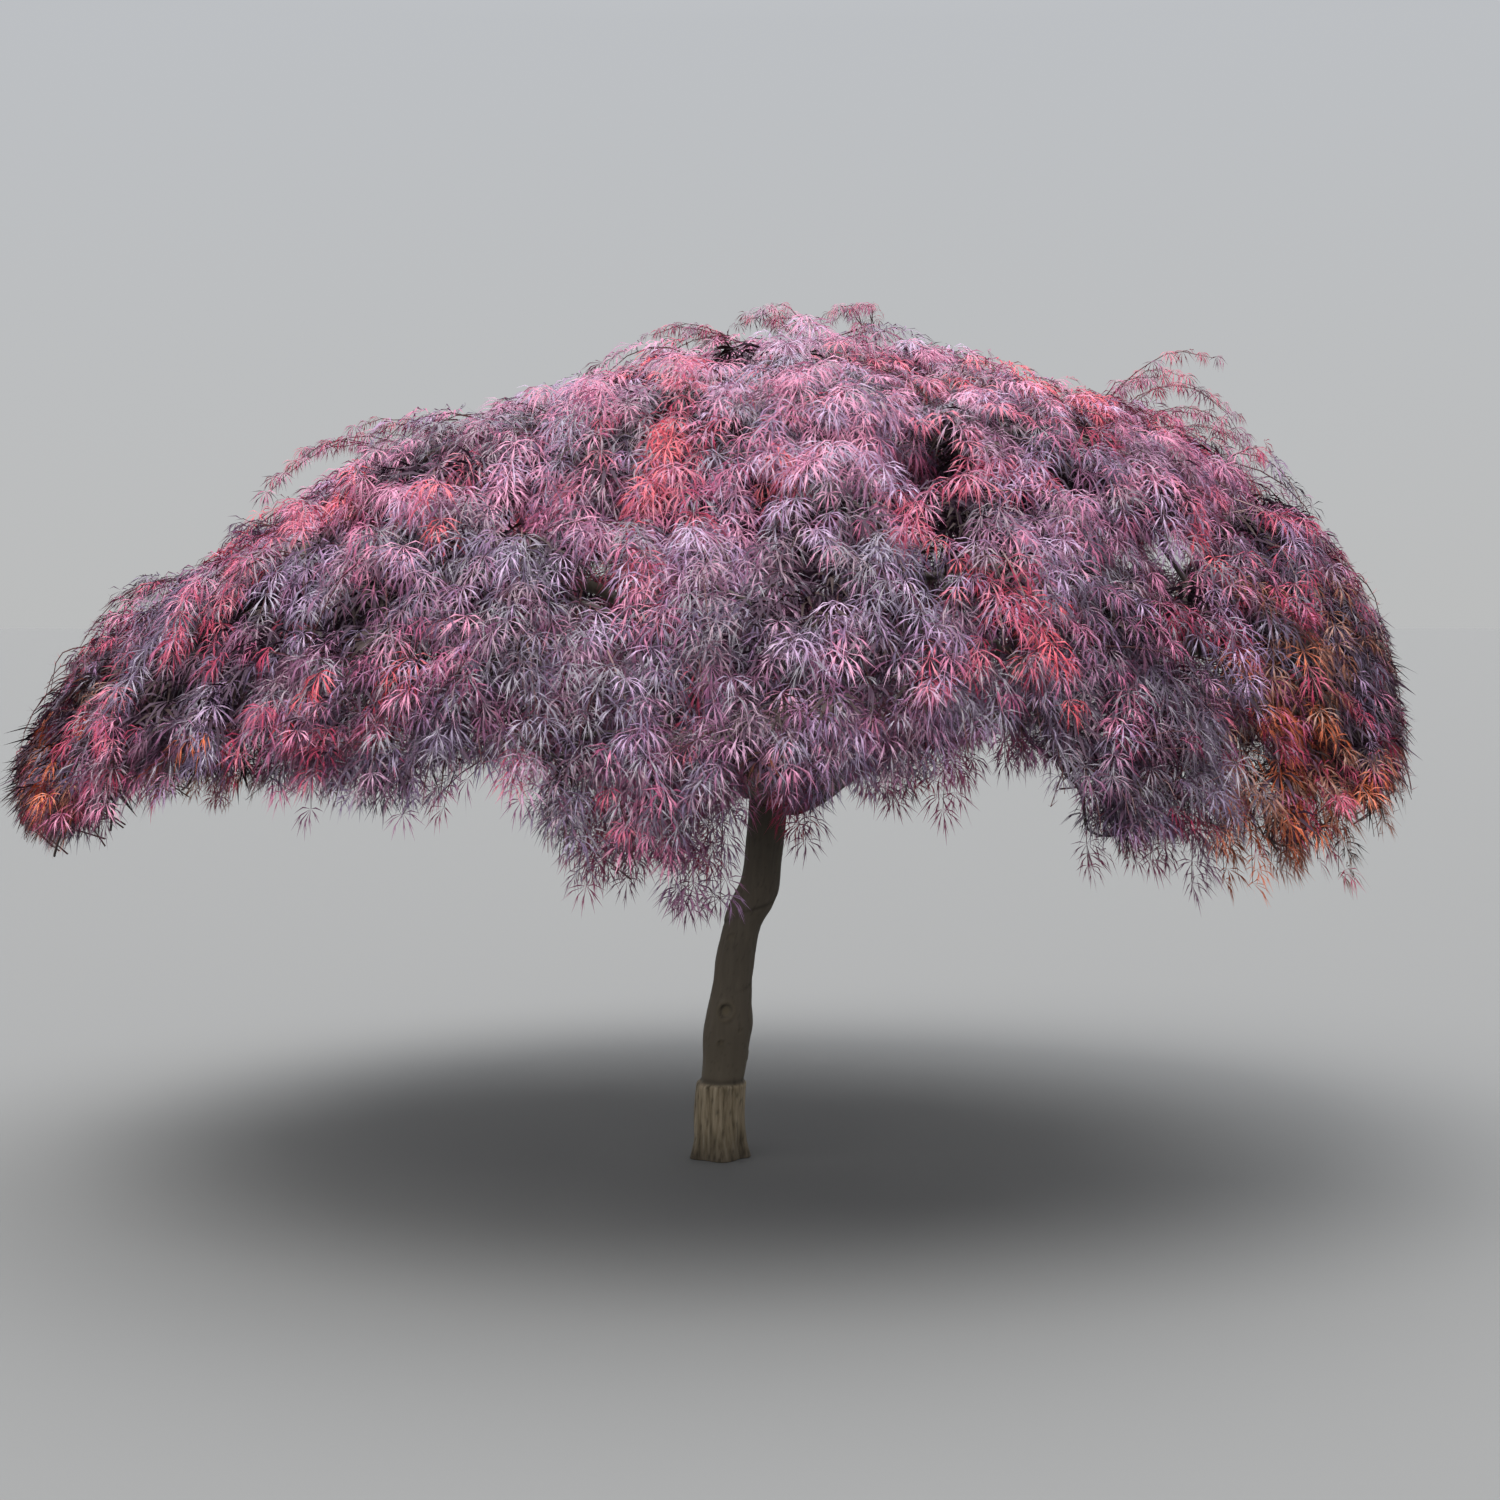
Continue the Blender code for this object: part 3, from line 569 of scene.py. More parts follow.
def skin_samples(count):
    """Points spread over the outside of the masses, with smoothed normals."""
    a, b, c = mv[mt[:, 0]], mv[mt[:, 1]], mv[mt[:, 2]]
    cr = np.cross(b - a, c - a)
    area = 0.5 * np.linalg.norm(cr, axis=1)
    nrm = unit(cr)
    mid = (a + b + c) / 3
    out = unit(mid - CROWN_CENTRE)
    w = area * (np.einsum("ij,ij->i", nrm, out) > 0.25)
    pick = rng.choice(len(mt), count, p=w / w.sum())
    u = rng.random((count, 2))
    s = np.sqrt(u[:, :1])
    p = a[pick] * (1 - s) + b[pick] * s * (1 - u[:, 1:]) + c[pick] * s * u[:, 1:]
    n = nrm[pick]
    # Smooth the normals over a hand's breadth or two.
    sm = np.empty_like(n)
    for i in range(count):
        near = np.linalg.norm(p - p[i], axis=1) < 0.22
        sm[i] = n[near].sum(0)
    return p, unit(sm)


pts, nrms = skin_samples(5200)


def spread(pts, count):
    """So many of the points, as evenly apart as they go."""
    keep = [0]
    d = np.linalg.norm(pts - pts[0], axis=1)
    while len(keep) < count:
        k = int(np.argmax(d))
        keep.append(k)
        d = np.minimum(d, np.linalg.norm(pts - pts[k], axis=1))
    return keep


tiers = [(pts[i], nrms[i]) for i in spread(pts, TIERS)]
tiers += [(np.array(p), unit(np.array(p) - CROWN_CENTRE)) for p in SEAMS]

# ---------------------------------------------------------------------- leaves
def lobe(r, an, ln, teeth, droop, wide=BLADE):
    """One lobe of a hanging leaf: a narrow kite folded at its middle, with forward teeth."""
    hang = np.array([math.cos(droop), 0.0, -math.sin(droop)])
    face = np.array([math.sin(droop), 0.0, math.cos(droop)])
    along = hang * math.cos(an) + np.array([0.0, 1.0, 0.0]) * math.sin(an)
    d1 = unit(along + np.array([0.28, 0.0, 0.26]) * r.uniform(0.4, 1.3) + r.normal(0, 0.06, 3))
    d2 = unit(along + np.array([0.0, 0.0, -0.38]) * r.uniform(0.4, 1.4) + r.normal(0, 0.09, 3))
    side = unit(np.cross(face, d1))
    twist = r.normal(0, 0.28)
    side = side * math.cos(twist) + np.cross(d1, side) * math.sin(twist)
    fold = r.uniform(0.36, 0.50)
    wide = wide * r.uniform(0.85, 1.15)
    mid = d1 * ln * fold
    tip = mid + d2 * ln * (1 - fold)
    v = [np.zeros(3), mid + side * wide, mid - side * wide, tip]
    f = [(0, 2, 1), (1, 2, 3)]
    for sg, edge in ((1, 1), (-1, 2)):
        rows = []
        if teeth > 0:  # on the outer half
            rows.append((v[edge], v[edge] * 0.85 + tip * 0.15, d2, r.uniform(0.26, 0.38), 0.9))
        if teeth > 1:  # on the inner half
            rows.append((v[edge] * 0.66, v[edge] * 0.84, d1, r.uniform(0.32, 0.44), 1.1))
        for p, q, on, reach, out in rows:
            k = len(v)
            v += [p, q, p + on * ln * reach + side * sg * TOOTH * out * r.uniform(0.7, 1.3)]
            f.append((k, k + 1, k + 2) if sg < 0 else (k, k + 2, k + 1))
    return np.array(v), np.array(f)


def leaf_template(r, teeth=(2, 1, 1, 1, 1, 0, 0), droop=(48, 76), spreadness=1.0, length=LEAF_LENGTH, wide=BLADE):
    """A leaf hanging from its stalk's end, its lobes spread like a fountain.

    The stalk's end is the origin, +X is outward and +Z up.
    """
    verts, tris, n = [], [], 0
    droop = math.radians(r.uniform(*droop))
    for an, ln, te in zip((0, 24, -24, 50, -50, 80, -80), (1.0, 0.98, 0.98, 0.90, 0.90, 0.66, 0.66), teeth):
        v, f = lobe(r, math.radians(an) * spreadness + r.normal(0, 0.06), ln * length * r.uniform(0.88, 1.10), te, droop, wide)
        verts.append(v)
        tris.append(f + n)
        n += len(v)
    return np.concatenate(verts), np.concatenate(tris)


tr = np.random.default_rng(4)
LEAVES = [leaf_template(tr, spreadness=s) for s in np.linspace(0.80, 1.20, 20)]
FLATTER = [leaf_template(tr, droop=(22, 50), spreadness=s) for s in np.linspace(0.90, 1.25, 12)]
SMALL = [leaf_template(tr, (1, 1, 1, 0, 0, 0, 0), spreadness=s) for s in np.linspace(0.7, 1.0, 8)]
# Shaded leaves from inside the crown.
PLAIN = [leaf_template(tr, (0,) * 7, (30, 80), s, 0.115, 0.0042) for s in np.linspace(0.9, 1.3, 10)]


def rot_z(a):
    c, s = math.cos(a), math.sin(a)
    return np.array([[c, -s, 0], [s, c, 0], [0, 0, 1.0]])


def tilt(axis, a):
    x, y, z = axis
    c, s = math.cos(a), math.sin(a)
    C = 1 - c
    return np.array([[c + x * x * C, x * y * C - z * s, x * z * C + y * s],
                     [y * x * C + z * s, c + y * y * C, y * z * C - x * s],
                     [z * x * C - y * s, z * y * C + x * s, c + z * z * C]])


# Colours dealt out by spray.
PALETTE = {
    "crimson": ((0.330, 0.024, 0.070), 0.42, "leaf_crimson"),
    "scarlet": ((0.470, 0.032, 0.058), 0.45, "leaf_crimson"),
    "blush": ((0.400, 0.127, 0.230), 0.42, "leaf_rose"),
    "rose": ((0.325, 0.066, 0.148), 0.40, "leaf_rose"),
    "mauve": ((0.200, 0.068, 0.142), 0.36, "leaf_rose"),
    "plum": ((0.108, 0.036, 0.070), 0.34, "leaf_plum"),
    # A pale lilac for painted sheen: the sky's reflection on the leaves.
    "lilac": ((0.262, 0.146, 0.264), 0.34, "leaf_slate"),
    "slate": ((0.112, 0.072, 0.132), 0.30, "leaf_slate"),
    "dusk": ((0.060, 0.036, 0.064), 0.32, "leaf_slate"),
    "bronze": ((0.175, 0.052, 0.024), 0.42, "leaf_bronze"),
    # An orange for painted light shining through backlit leaves.
    "orange": ((0.430, 0.082, 0.020), 0.50, "leaf_bronze"),
    # umber and shade: near-black colours for the leaves inside the crown, painted shade.
    "umber": ((0.038, 0.023, 0.022), 0.60, "leaf_bronze"),
    "shade": ((0.038, 0.018, 0.032), 0.60, "leaf_plum"),
}
NEIGHBOUR = {"crimson": "rose", "scarlet": "crimson", "blush": "lilac", "rose": "mauve", "mauve": "lilac",
             "plum": "mauve", "lilac": "blush", "slate": "lilac", "dusk": "slate", "bronze": "crimson",
             "orange": "bronze", "umber": "bronze", "shade": "plum"}
# The next darker colour of each: for random tone, and for painted shade deeper in and lower down in the crown.
DARKER = {"crimson": "plum", "scarlet": "crimson", "blush": "mauve", "rose": "plum", "mauve": "plum",
          "plum": "dusk", "lilac": "slate", "slate": "dusk", "dusk": "dusk", "bronze": "umber",
          "orange": "bronze", "umber": "umber", "shade": "shade"}
piles = {k: Pile() for k in PALETTE}
stalks, twigs, branches = Pile(), Pile(), Pile()


def deal(r, **shares):
    names, w = zip(*shares.items())
    w = np.array(w, float)
    return names[int(r.choice(len(names), p=w / w.sum()))]


def colours_of(p, n, r):
    """The colours of a shoot's older leaves and of its new ones, by place and chance."""
    x, y, z = p
    u = r.random()
    low = 1.0 - step(1.05, 1.45, z)
    right, left = step(1.10, 1.60, x), step(1.25, 1.80, -x)
    top = step(1.55, 2.10, z)
    for fx, fy, fz, size, kind in FLUSHES:
        if math.dist(p, (fx, fy, fz)) < size * r.uniform(0.75, 1.25) and r.random() < 0.85:
            if kind == "red":
                return deal(r, crimson=5, rose=4, plum=1), deal(r, scarlet=4, crimson=5)
            if kind == "pale":
                return deal(r, blush=6, rose=2, lilac=2), deal(r, blush=4, crimson=2, rose=2)
            if kind == "pink":
                return deal(r, rose=4, mauve=2, blush=1), deal(r, crimson=3, rose=4, blush=2)
            if kind == "orange":
                return deal(r, bronze=7, orange=2, crimson=1, plum=2), deal(r, orange=5, crimson=2, bronze=3)
            # The dark places: painted shade under the front rim.
            if kind == "dark":
                return deal(r, plum=4, dusk=4, umber=3), deal(r, mauve=2, plum=4, slate=2)
            # The lilac places: pale lilac for painted sheen of the sky.
            return deal(r, lilac=5, slate=3, mauve=2), deal(r, lilac=3, mauve=3, blush=1)
    front = step(0.2, 0.8, -y)
    ends = step(0.45, 1.15, -x) + step(0.85, 1.25, x)
    mood = lump(p, 0.24, 11.0) + 0.6 * lump(p, 0.12, 5.0) + 0.10 * left - 0.16 * front + 0.22 * ends * step(1.55, 1.80, z)
    # Low at the crown's ends: bronze leaves, with orange ones for painted light shining through them.
    if low * max(right, left) > 0.25 and u < 0.50 + 0.45 * right:
        return deal(r, bronze=7, orange=1, crimson=1, plum=2), deal(r, orange=5, crimson=2, bronze=4)
    if right > 0.35 and z < 1.75 and u < 0.50:
        return deal(r, bronze=2, plum=4, dusk=2, crimson=2), deal(r, crimson=4, bronze=2, rose=2)
    # On top, lighter pinker colours: new growth, with painted sky light on the crown's top.
    if u < 0.85 * top:
        if mood > 0.20:
            return deal(r, crimson=3, rose=4, blush=2), deal(r, scarlet=3, crimson=5, blush=2)
        if mood > -0.08:
            return deal(r, rose=4, blush=6, mauve=1, lilac=2), deal(r, crimson=3, rose=3, blush=5)
        return deal(r, lilac=5, blush=3, mauve=3, slate=2), deal(r, rose=4, blush=3, lilac=2)
    if left > 0.3 and u > 0.45:
        return deal(r, crimson=4, plum=5, bronze=2), deal(r, crimson=6, rose=2, orange=1)
    if mood > 0.40:
        old, new = deal(r, crimson=4, rose=4, mauve=2), deal(r, scarlet=3, crimson=5)
    elif mood > 0.20:
        old, new = deal(r, rose=4, mauve=4, slate=1), deal(r, crimson=4, rose=5)
    elif mood > 0.0:
        old, new = deal(r, mauve=5, slate=2, plum=2, lilac=2), deal(r, rose=4, mauve=4, crimson=1, lilac=1)
    elif mood > -0.25:
        old, new = deal(r, mauve=4, slate=3, plum=3, dusk=1, lilac=2), deal(r, mauve=4, rose=2, slate=1, lilac=2)
    else:
        old, new = deal(r, slate=4, dusk=3, plum=2, lilac=1), deal(r, plum=3, mauve=3, slate=2)
    # Lower down, older leaves are often drawn darker: painted shade of the crown's lower part.
    if r.random() < 0.62 * (1.0 - step(1.35, 1.75, z)):
        old = DARKER[old]
    if abs(x - 0.35) < 0.80 and y < -0.7 and z < 1.45:  # in the shade over the trunk
        old, new = DARKER[old], (DARKER[new] if r.random() < 0.6 else new)
        if r.random() < 0.60:
            old = DARKER[old]
    return old, new


leaf_count = 0


def beyond(p):
    """How far a point lies outside the masses; inside it is negative."""
    loc, nor, _, d = skin.find_nearest(Vector(p))
    return d if (Vector(p) - loc).dot(nor) > 0 else -d


def within(p, depth=0.05):
    """The point itself, or its neighbour well inside the masses."""
    if beyond(p) > -depth:
        loc, nor, _, _ = skin.find_nearest(Vector(p))
        p = np.array(loc) - np.array(nor) * depth
    return p


# The crown's ends as seen from the viewer's place: how high the foliage stands there.
VIEWER = np.array([0.0915, -6.6, 1.625])
ENDS_X = (-2.11, -2.06, -2.00, -1.93, -1.85, -1.71, -1.50, 1.55, 1.71, 1.83, 1.92, 1.99, 2.02, 2.05)
ENDS_Z = (1.16, 1.24, 1.38, 1.51, 1.63, 1.76, 2.56, 2.56, 2.02, 1.87, 1.69, 1.56, 1.38, 1.25)
UNDER_X = (-2.11, -2.06, -2.00, -1.81, -1.72, -1.57, -1.45)
UNDER_Z = (1.12, 0.92, 0.905, 0.935, 1.04, 1.05, 0.80)
LOW_END = np.array(cad_low) - (0.070, 0.070, 0.0)
HIGH_END = np.array(cad_high) + (0.070, 0.070, 0.045)


def over_edge(p):
    """Whether a point is past the crown's furthest tips."""
    if (p < LOW_END).any() or (p > HIGH_END).any():
        return True
    k = VIEWER[1] / (VIEWER[1] - p[1])
    x, z = VIEWER[0] + (p[0] - VIEWER[0]) * k, VIEWER[2] + (p[2] - VIEWER[2]) * k
    if x < UNDER_X[-1] and z < np.interp(x, UNDER_X, UNDER_Z):
        return True
    return bool(x < ENDS_X[0] or x > ENDS_X[-1] or z > np.interp(x, ENDS_X, ENDS_Z))


def put_leaf(at, yaw, size, r, colour, kind=LEAVES, reach=REACH_OUT):
    global leaf_count
    if reach is not None:
        out = beyond(at + np.array([math.cos(yaw) * 0.050, math.sin(yaw) * 0.050, -0.070]) * size)
        if out > reach:
            return
        # Leaves deeper in the crown are dealt darker colours, painted shade of the crown's inside.
        if out < -0.035 and r.random() < (0.85 if at[2] < 1.8 else 0.50 if abs(at[0]) > 0.7 or at[2] > 2.15 else 0.75):
            colour = DARKER[colour]
        if out < -0.075:
            colour = DARKER[DARKER[colour]]
    v, f = kind[r.integers(len(kind))]
    v = v * size
    if r.random() < 0.5:
        v = v * np.array([1, -1, 1])
        f = f[:, ::-1]
    axis = unit(r.normal(0, 1, 3))
    m = tilt(axis, r.normal(0, 0.14)) @ rot_z(yaw)
    v = v @ m.T + at
    far = v[np.argmax(np.abs(v[:, 0])), 0]
    if over_edge(np.array([far, v[:, 1].mean(), v[:, 2].max() - 0.02])):
        return
    if far < -1.4 and over_edge(np.array([far, v[:, 1].mean(), v[:, 2].min() + 0.02])):
        return
    piles[colour].add(v, f)
    leaf_count += 1


def stalk(a, b, w=0.0013):
    d = unit(b - a)
    s = unit(np.cross(d, (0.3, 0.2, 1.0))) * w
    stalks.add(np.array([a - s, a + s, b]), np.array([[0, 1, 2]]))


def shoot(root, first, ahead, n, length, droop, r, colours, leaf=1.0, every=0.041, bare=0.22, limit=REACH_OUT):
    """One arching shoot, cut where it leaves the masses, with leaves in pairs."""
    steps = 5
    p = np.array(root, float)
    line = [p.copy()]
    for i in range(steps):
        s = (i + 0.5) / steps
        d = unit(first * (1 - s) ** 1.5 + ahead * (0.4 + 0.6 * s) + np.array([0, 0, -1.0]) * droop * s ** 1.6
                 + r.normal(0, 0.06, 3))
        p = p + d * length / steps
        if over_edge(p + (0, 0, -0.02)) or limit is not None and beyond(p + np.array([0, 0, -0.03])) > limit:
            break
        line.append(p.copy())
    if len(line) < 3:
        return
    line = np.array(line)
    run = length / steps
    length = run * (len(line) - 1)
    v, f = tube(line, np.linspace(0.0026, 0.0009, len(line)), 3, cap=False)
    twigs.add(v, f)
    pos = bare * length
    while pos < length:
        k = min(int(pos / run), len(line) - 2)
        q = line[k] + (line[k + 1] - line[k]) * (pos / run - k)
        d = unit(line[k + 1] - line[k])
        flat = d[:2] * 1.0 + n[:2] * 0.7
        yaw0 = math.atan2(flat[1], flat[0])
        t = pos / length
        sz = leaf * (1.0 - 0.20 * t) * r.uniform(0.78, 1.22)
        for sgn in (1, -1):
            yaw = yaw0 + sgn * r.uniform(0.40, 0.95)
            reach = r.uniform(0.016, 0.034) * leaf
            out = np.array([math.cos(yaw), math.sin(yaw), r.uniform(0.0, 0.75)])
            e = q + out * reach
            stalk(q, e)
            u = r.random()
            c = colours[1] if u < t * t + 0.06 else colours[0]
            if u > 0.66:
                c = NEIGHBOUR[c] if u < 0.83 else DARKER[c]
            put_leaf(e, yaw - sgn * 0.25, sz, r, c, FLATTER if n[2] > 0.80 and r.random() < 0.6 else LEAVES, limit)
        pos += every * r.uniform(0.85, 1.2)
    d = unit(line[-1] - line[-2])
    yaw = math.atan2(d[1] + n[1] * 0.5, d[0] + n[0] * 0.5)
    put_leaf(line[-1], yaw, leaf * 0.85, r, colours[1], reach=limit)
    return line


# --------------------------------------------------- tiers of drooping shoots
roots = []
for i, (p, n) in enumerate(tiers):
    r = np.random.default_rng(1000 + i)
    hz = unit(np.array([p[0] - CROWN_CENTRE[0], p[1] - CROWN_CENTRE[1], 0.0]))
    ahead = unit(hz - n * np.dot(hz, n) + np.array([0, 0, -0.10]))
    if n[2] > 0.93:
        ahead = unit(ahead + r.normal(0, 0.5, 3) * np.array([1, 1, 0]))
    steep = 1.0 - step(0.2, 0.85, n[2])
    flat = step(0.55, 0.92, n[2])
    depth = 0.12 - 0.055 * flat + 0.02 * r.normal()
    root = within(p - ahead * 0.17 - n * depth)
    count = r.integers(5, 8) if i < TIERS else r.integers(4, 7)
    fan = np.radians(np.linspace(-54, 54, count) + r.normal(0, 10, count))
    for a in fan:
        d = tilt(n, a) @ ahead
        first = unit(d * 0.60 + n * r.uniform(0.40, 0.85) * (1 - 0.3 * steep + 0.35 * flat) + np.array([0, 0, 0.15]))
        length = r.uniform(0.27, 0.43) * (1.0 - 0.10 * abs(a))
        at = root + r.normal(0, 0.022, 3)
        limit = REACH_OUT + 0.045 * r.random() ** 2 * step(0.3, 0.7, n[2]) if i < TIERS else 0.10
        shoot(at, first, d, n, length, r.uniform(0.5, 1.1), r, colours_of(at + d * 0.2, n, r), limit=limit)
    roots.append((root, -ahead * 0.3 + n * 0.2))

# A fringe of hanging shoots all round the rim.
around = np.arctan2(mv[:, 1] - CROWN_CENTRE[1], mv[:, 0] - CROWN_CENTRE[0])
for i, th in enumerate(np.radians(np.arange(0, 360, 3.6))):
    r = np.random.default_rng(5000 + i)
    th += r.normal(0, 0.012)
    near = np.abs((around - th + math.pi) % (2 * math.pi) - math.pi) < math.radians(3.2)
    edge = mv[near]
    radius = np.hypot(edge[:, 0] - CROWN_CENTRE[0], edge[:, 1] - CROWN_CENTRE[1])
    edge, radius = edge[radius > 1.0], radius[radius > 1.0]
    z_low = edge[:, 2].min()
    band = (edge[:, 2] > z_low + 0.10) & (edge[:, 2] < z_low + 0.30)
    if band.sum() < 3:
        continue
    outward = np.array([math.cos(th), math.sin(th), 0.0])
    mid = 0.55 * radius[band].max() + 0.45 * radius[band].min()
    root = within(CROWN_CENTRE * np.array([1, 1, 0]) + outward * mid + np.array([0, 0, z_low + 0.20]), 0.03)
    for _ in range(3):
        n = unit(outward + np.array([0, 0, 0.2]))
        swing = tilt(np.array([0, 0, 1.0]), r.normal(0, 0.7)) @ outward
        first = unit(swing * 0.7 + np.array([0, 0, r.uniform(-0.5, 0.3)]))
        ahead = unit(swing * 0.35 + np.array([0, 0, -1.0]))
        shoot(root + r.normal(0, 0.028, 3), first, ahead, n, (root[2] - z_low) * r.uniform(0.75, 1.15) + 0.03, 0.8, r,
              colours_of(root, n, r), leaf=0.95, every=0.040, limit=0.070)
    if i % 2 == 0:
        roots.append((root, -outward * 0.3 + np.array([0, 0, 0.8])))

# Sprays that hang lower than the rim beside them.
for i, (x, y, low, count) in enumerate(HANGING):
    r = np.random.default_rng(7000 + i)
    hit = skin.ray_cast(Vector((x, y, 0.4)), Vector((0, 0, 1)))[0] or skin.find_nearest(Vector((x, y, low + 0.2)))[0]
    root = np.array(hit) + np.array([0, 0, 0.05])
    outward = unit(np.array([x - CROWN_CENTRE[0], y - CROWN_CENTRE[1], 0.0]))
    for _ in range(count):
        swing = tilt(np.array([0, 0, 1.0]), r.normal(0, 0.8)) @ outward
        first = unit(swing * 0.22 + np.array([0, 0, r.uniform(-0.8, -0.1)]))
        ahead = unit(swing * 0.05 + np.array([0, 0, -1.0]))
        # At the crown's ends their orange leaves stand for painted light shining through them.
        shoot(root + r.normal(0, 0.045, 3), first, ahead, outward, max(0.09, root[2] - low - 0.07) * r.uniform(0.75, 1.15), 1.2, r,
              (deal(r, bronze=5, orange=1, plum=1), deal(r, orange=5, crimson=2, bronze=1)) if x > 1.15 or x < -1.3 else
              (deal(r, plum=3, mauve=3, slate=2, dusk=2), deal(r, rose=4, crimson=2, mauve=4)), leaf=1.0, every=0.034,
              bare=0.05, limit=None)
    roots.append((root, np.array([0, 0, 0.8])))

# Shaded leaves that fill the inner side of the masses.
inner = np.random.default_rng(77)
for i in inner.permutation(len(pts)):
    p, n = pts[i], nrms[i]
    for _ in range(2 if p[2] < 1.65 else 1):
        q = p - n * inner.uniform(0.11, 0.22) + inner.normal(0, 0.03, 3)
        if beyond(q) > -0.085 or beyond(q + (0, 0, -0.09)) > 0.0 or over_edge(q * (1.03, 1.03, 1.0)):
            continue
        if q[0] < -1.3 and over_edge(q - (0, 0, 0.13)):
            continue
        v, f = PLAIN[inner.integers(len(PLAIN))]
        m = tilt(unit(inner.normal(0, 1, 3)), inner.normal(0, 0.35)) @ rot_z(inner.uniform(0, 2 * math.pi))
        piles["shade" if inner.random() < 0.7 else "umber"].add((v * inner.uniform(0.8, 1.15)) @ m.T + q, f)


def fill_gaps(seed, gap):
    """More shaded leaves wherever a straight look through the crown meets none."""
    r = np.random.default_rng(seed)
    v, f, k = [], [], 0
    for pile in piles.values():
        if pile.n:
            v.append(np.concatenate(pile.v))
            f.append(np.concatenate(pile.f) + k)
            k += pile.n
    leafage = BVHTree.FromPolygons(np.concatenate(v).tolist(), np.concatenate(f).tolist())
    added, taken = 0, set()
    for el, turn in ((3.0, 0.0), (16.0, 15.0), (25.0, 15.0), (34.0, 0.0), (60.0, 0.0)):
        for az in np.arange(turn, 360.0, 30.0):
            a, e = math.radians(az), math.radians(el)
            into = -np.array([math.sin(a) * math.cos(e), -math.cos(a) * math.cos(e), math.sin(e)])
            across = np.array([math.cos(a), math.sin(a), 0.0])
            up = np.cross(across, into)
            if up[2] < 0:
                up = -up
            way = Vector(into)
            for s in np.arange(-2.1, 2.1, gap):
                for t in np.arange(-1.5, 1.4, gap):
                    q = np.array([0.0, 0.0, 1.6]) + across * (s + gap * r.random()) + up * (t + gap * r.random()) - into * 4.0
                    q = Vector(q)
                    hit = skin.ray_cast(q, way)[0]
                    if hit is None or leafage.ray_cast(q, way)[0] is not None:
                        continue
                    # Stretches of the look that lie within the masses.
                    ends = [hit]
                    while len(ends) < 8:
                        nxt = skin.ray_cast(ends[-1] + way * 0.002, way)[0]
                        if nxt is None:
                            break
                        ends.append(nxt)
                    spans = [(ends[j], ends[j + 1]) for j in range(0, len(ends) - 1, 2)
                             if (ends[j + 1] - ends[j]).length > 0.12]
                    if sum((b - a).length for a, b in spans) < 0.24:
                        continue
                    a0, b0 = spans[r.integers(len(spans))]
                    c = np.array(a0 + way * min(0.5 * (b0 - a0).length, r.uniform(0.12, 0.22)))
                    cell = tuple(np.floor(c / 0.06).astype(int))
                    if cell in taken:
                        continue
                    taken.add(cell)
                    c = within(c, 0.105 if c[2] < 2.28 else 0.15)
                    c[2] += 0.03
                    if beyond(c + (0, 0, -0.07)) > 0.03 or over_edge(c * (1.03, 1.03, 1.0)):
                        continue
                    if c[0] < -1.3 and over_edge(c - (0, 0, 0.13)):
                        continue
                    v, f = PLAIN[r.integers(len(PLAIN))]
                    m = tilt(unit(r.normal(0, 1, 3)), r.normal(0, 0.35)) @ rot_z(r.uniform(0, 2 * math.pi))
                    piles["shade" if r.random() < 0.7 else "umber"].add((v * r.uniform(0.9, 1.2)) @ m.T + c, f)
                    added += 1
    return added


print("gaps filled", [fill_gaps(60 + k, 0.055) for k in range(3)])

# Loose sprays that stand up off the crown.
for node, shoots in SPRAYS:
    r = np.random.default_rng(len(node) * 7)
    for a, b, c, size in shoots:
        a, b, c = np.array(a), np.array(b), np.array(c)
        for j in range(2):
            t = np.linspace(0, r.uniform(0.85, 1.0), 10)[:, None]
            line = a * (1 - t) ** 2 + b * 2 * t * (1 - t) + c * t * t
            line = line + r.normal(0, 0.030, 3) * np.array([0.7, 1.2, 0.5]) * t + r.normal(0, 0.004, line.shape)
            v, f = tube(line, np.linspace(0.0028, 0.0009, 10), 3, cap=False)
            twigs.add(v, f)
            for k in range(3, 10):
                d = unit(line[k] - line[k - 1])
                yaw0 = math.atan2(d[1], d[0])
                for sgn in (1, -1):
                    yaw = yaw0 + sgn * r.uniform(0.3, 1.3)
                    e = line[k] + np.array([math.cos(yaw), math.sin(yaw), 0.3]) * 0.018
                    stalk(line[k], e)
                    put_leaf(e, yaw, size * r.uniform(0.8, 1.15), r, deal(r, crimson=4, rose=4, mauve=3, plum=1), SMALL, None)
        roots.append((a, np.array([0, 0, 0.2])))

# ------------------------------------------ branches that carry on the boughs
skel_p, skel_parent, skel_r0 = [], [], []


def skel_add(p, parent, r0=0.0):
    skel_p.append(np.asarray(p, float))
    skel_parent.append(parent)
    skel_r0.append(r0)
    return len(skel_p) - 1


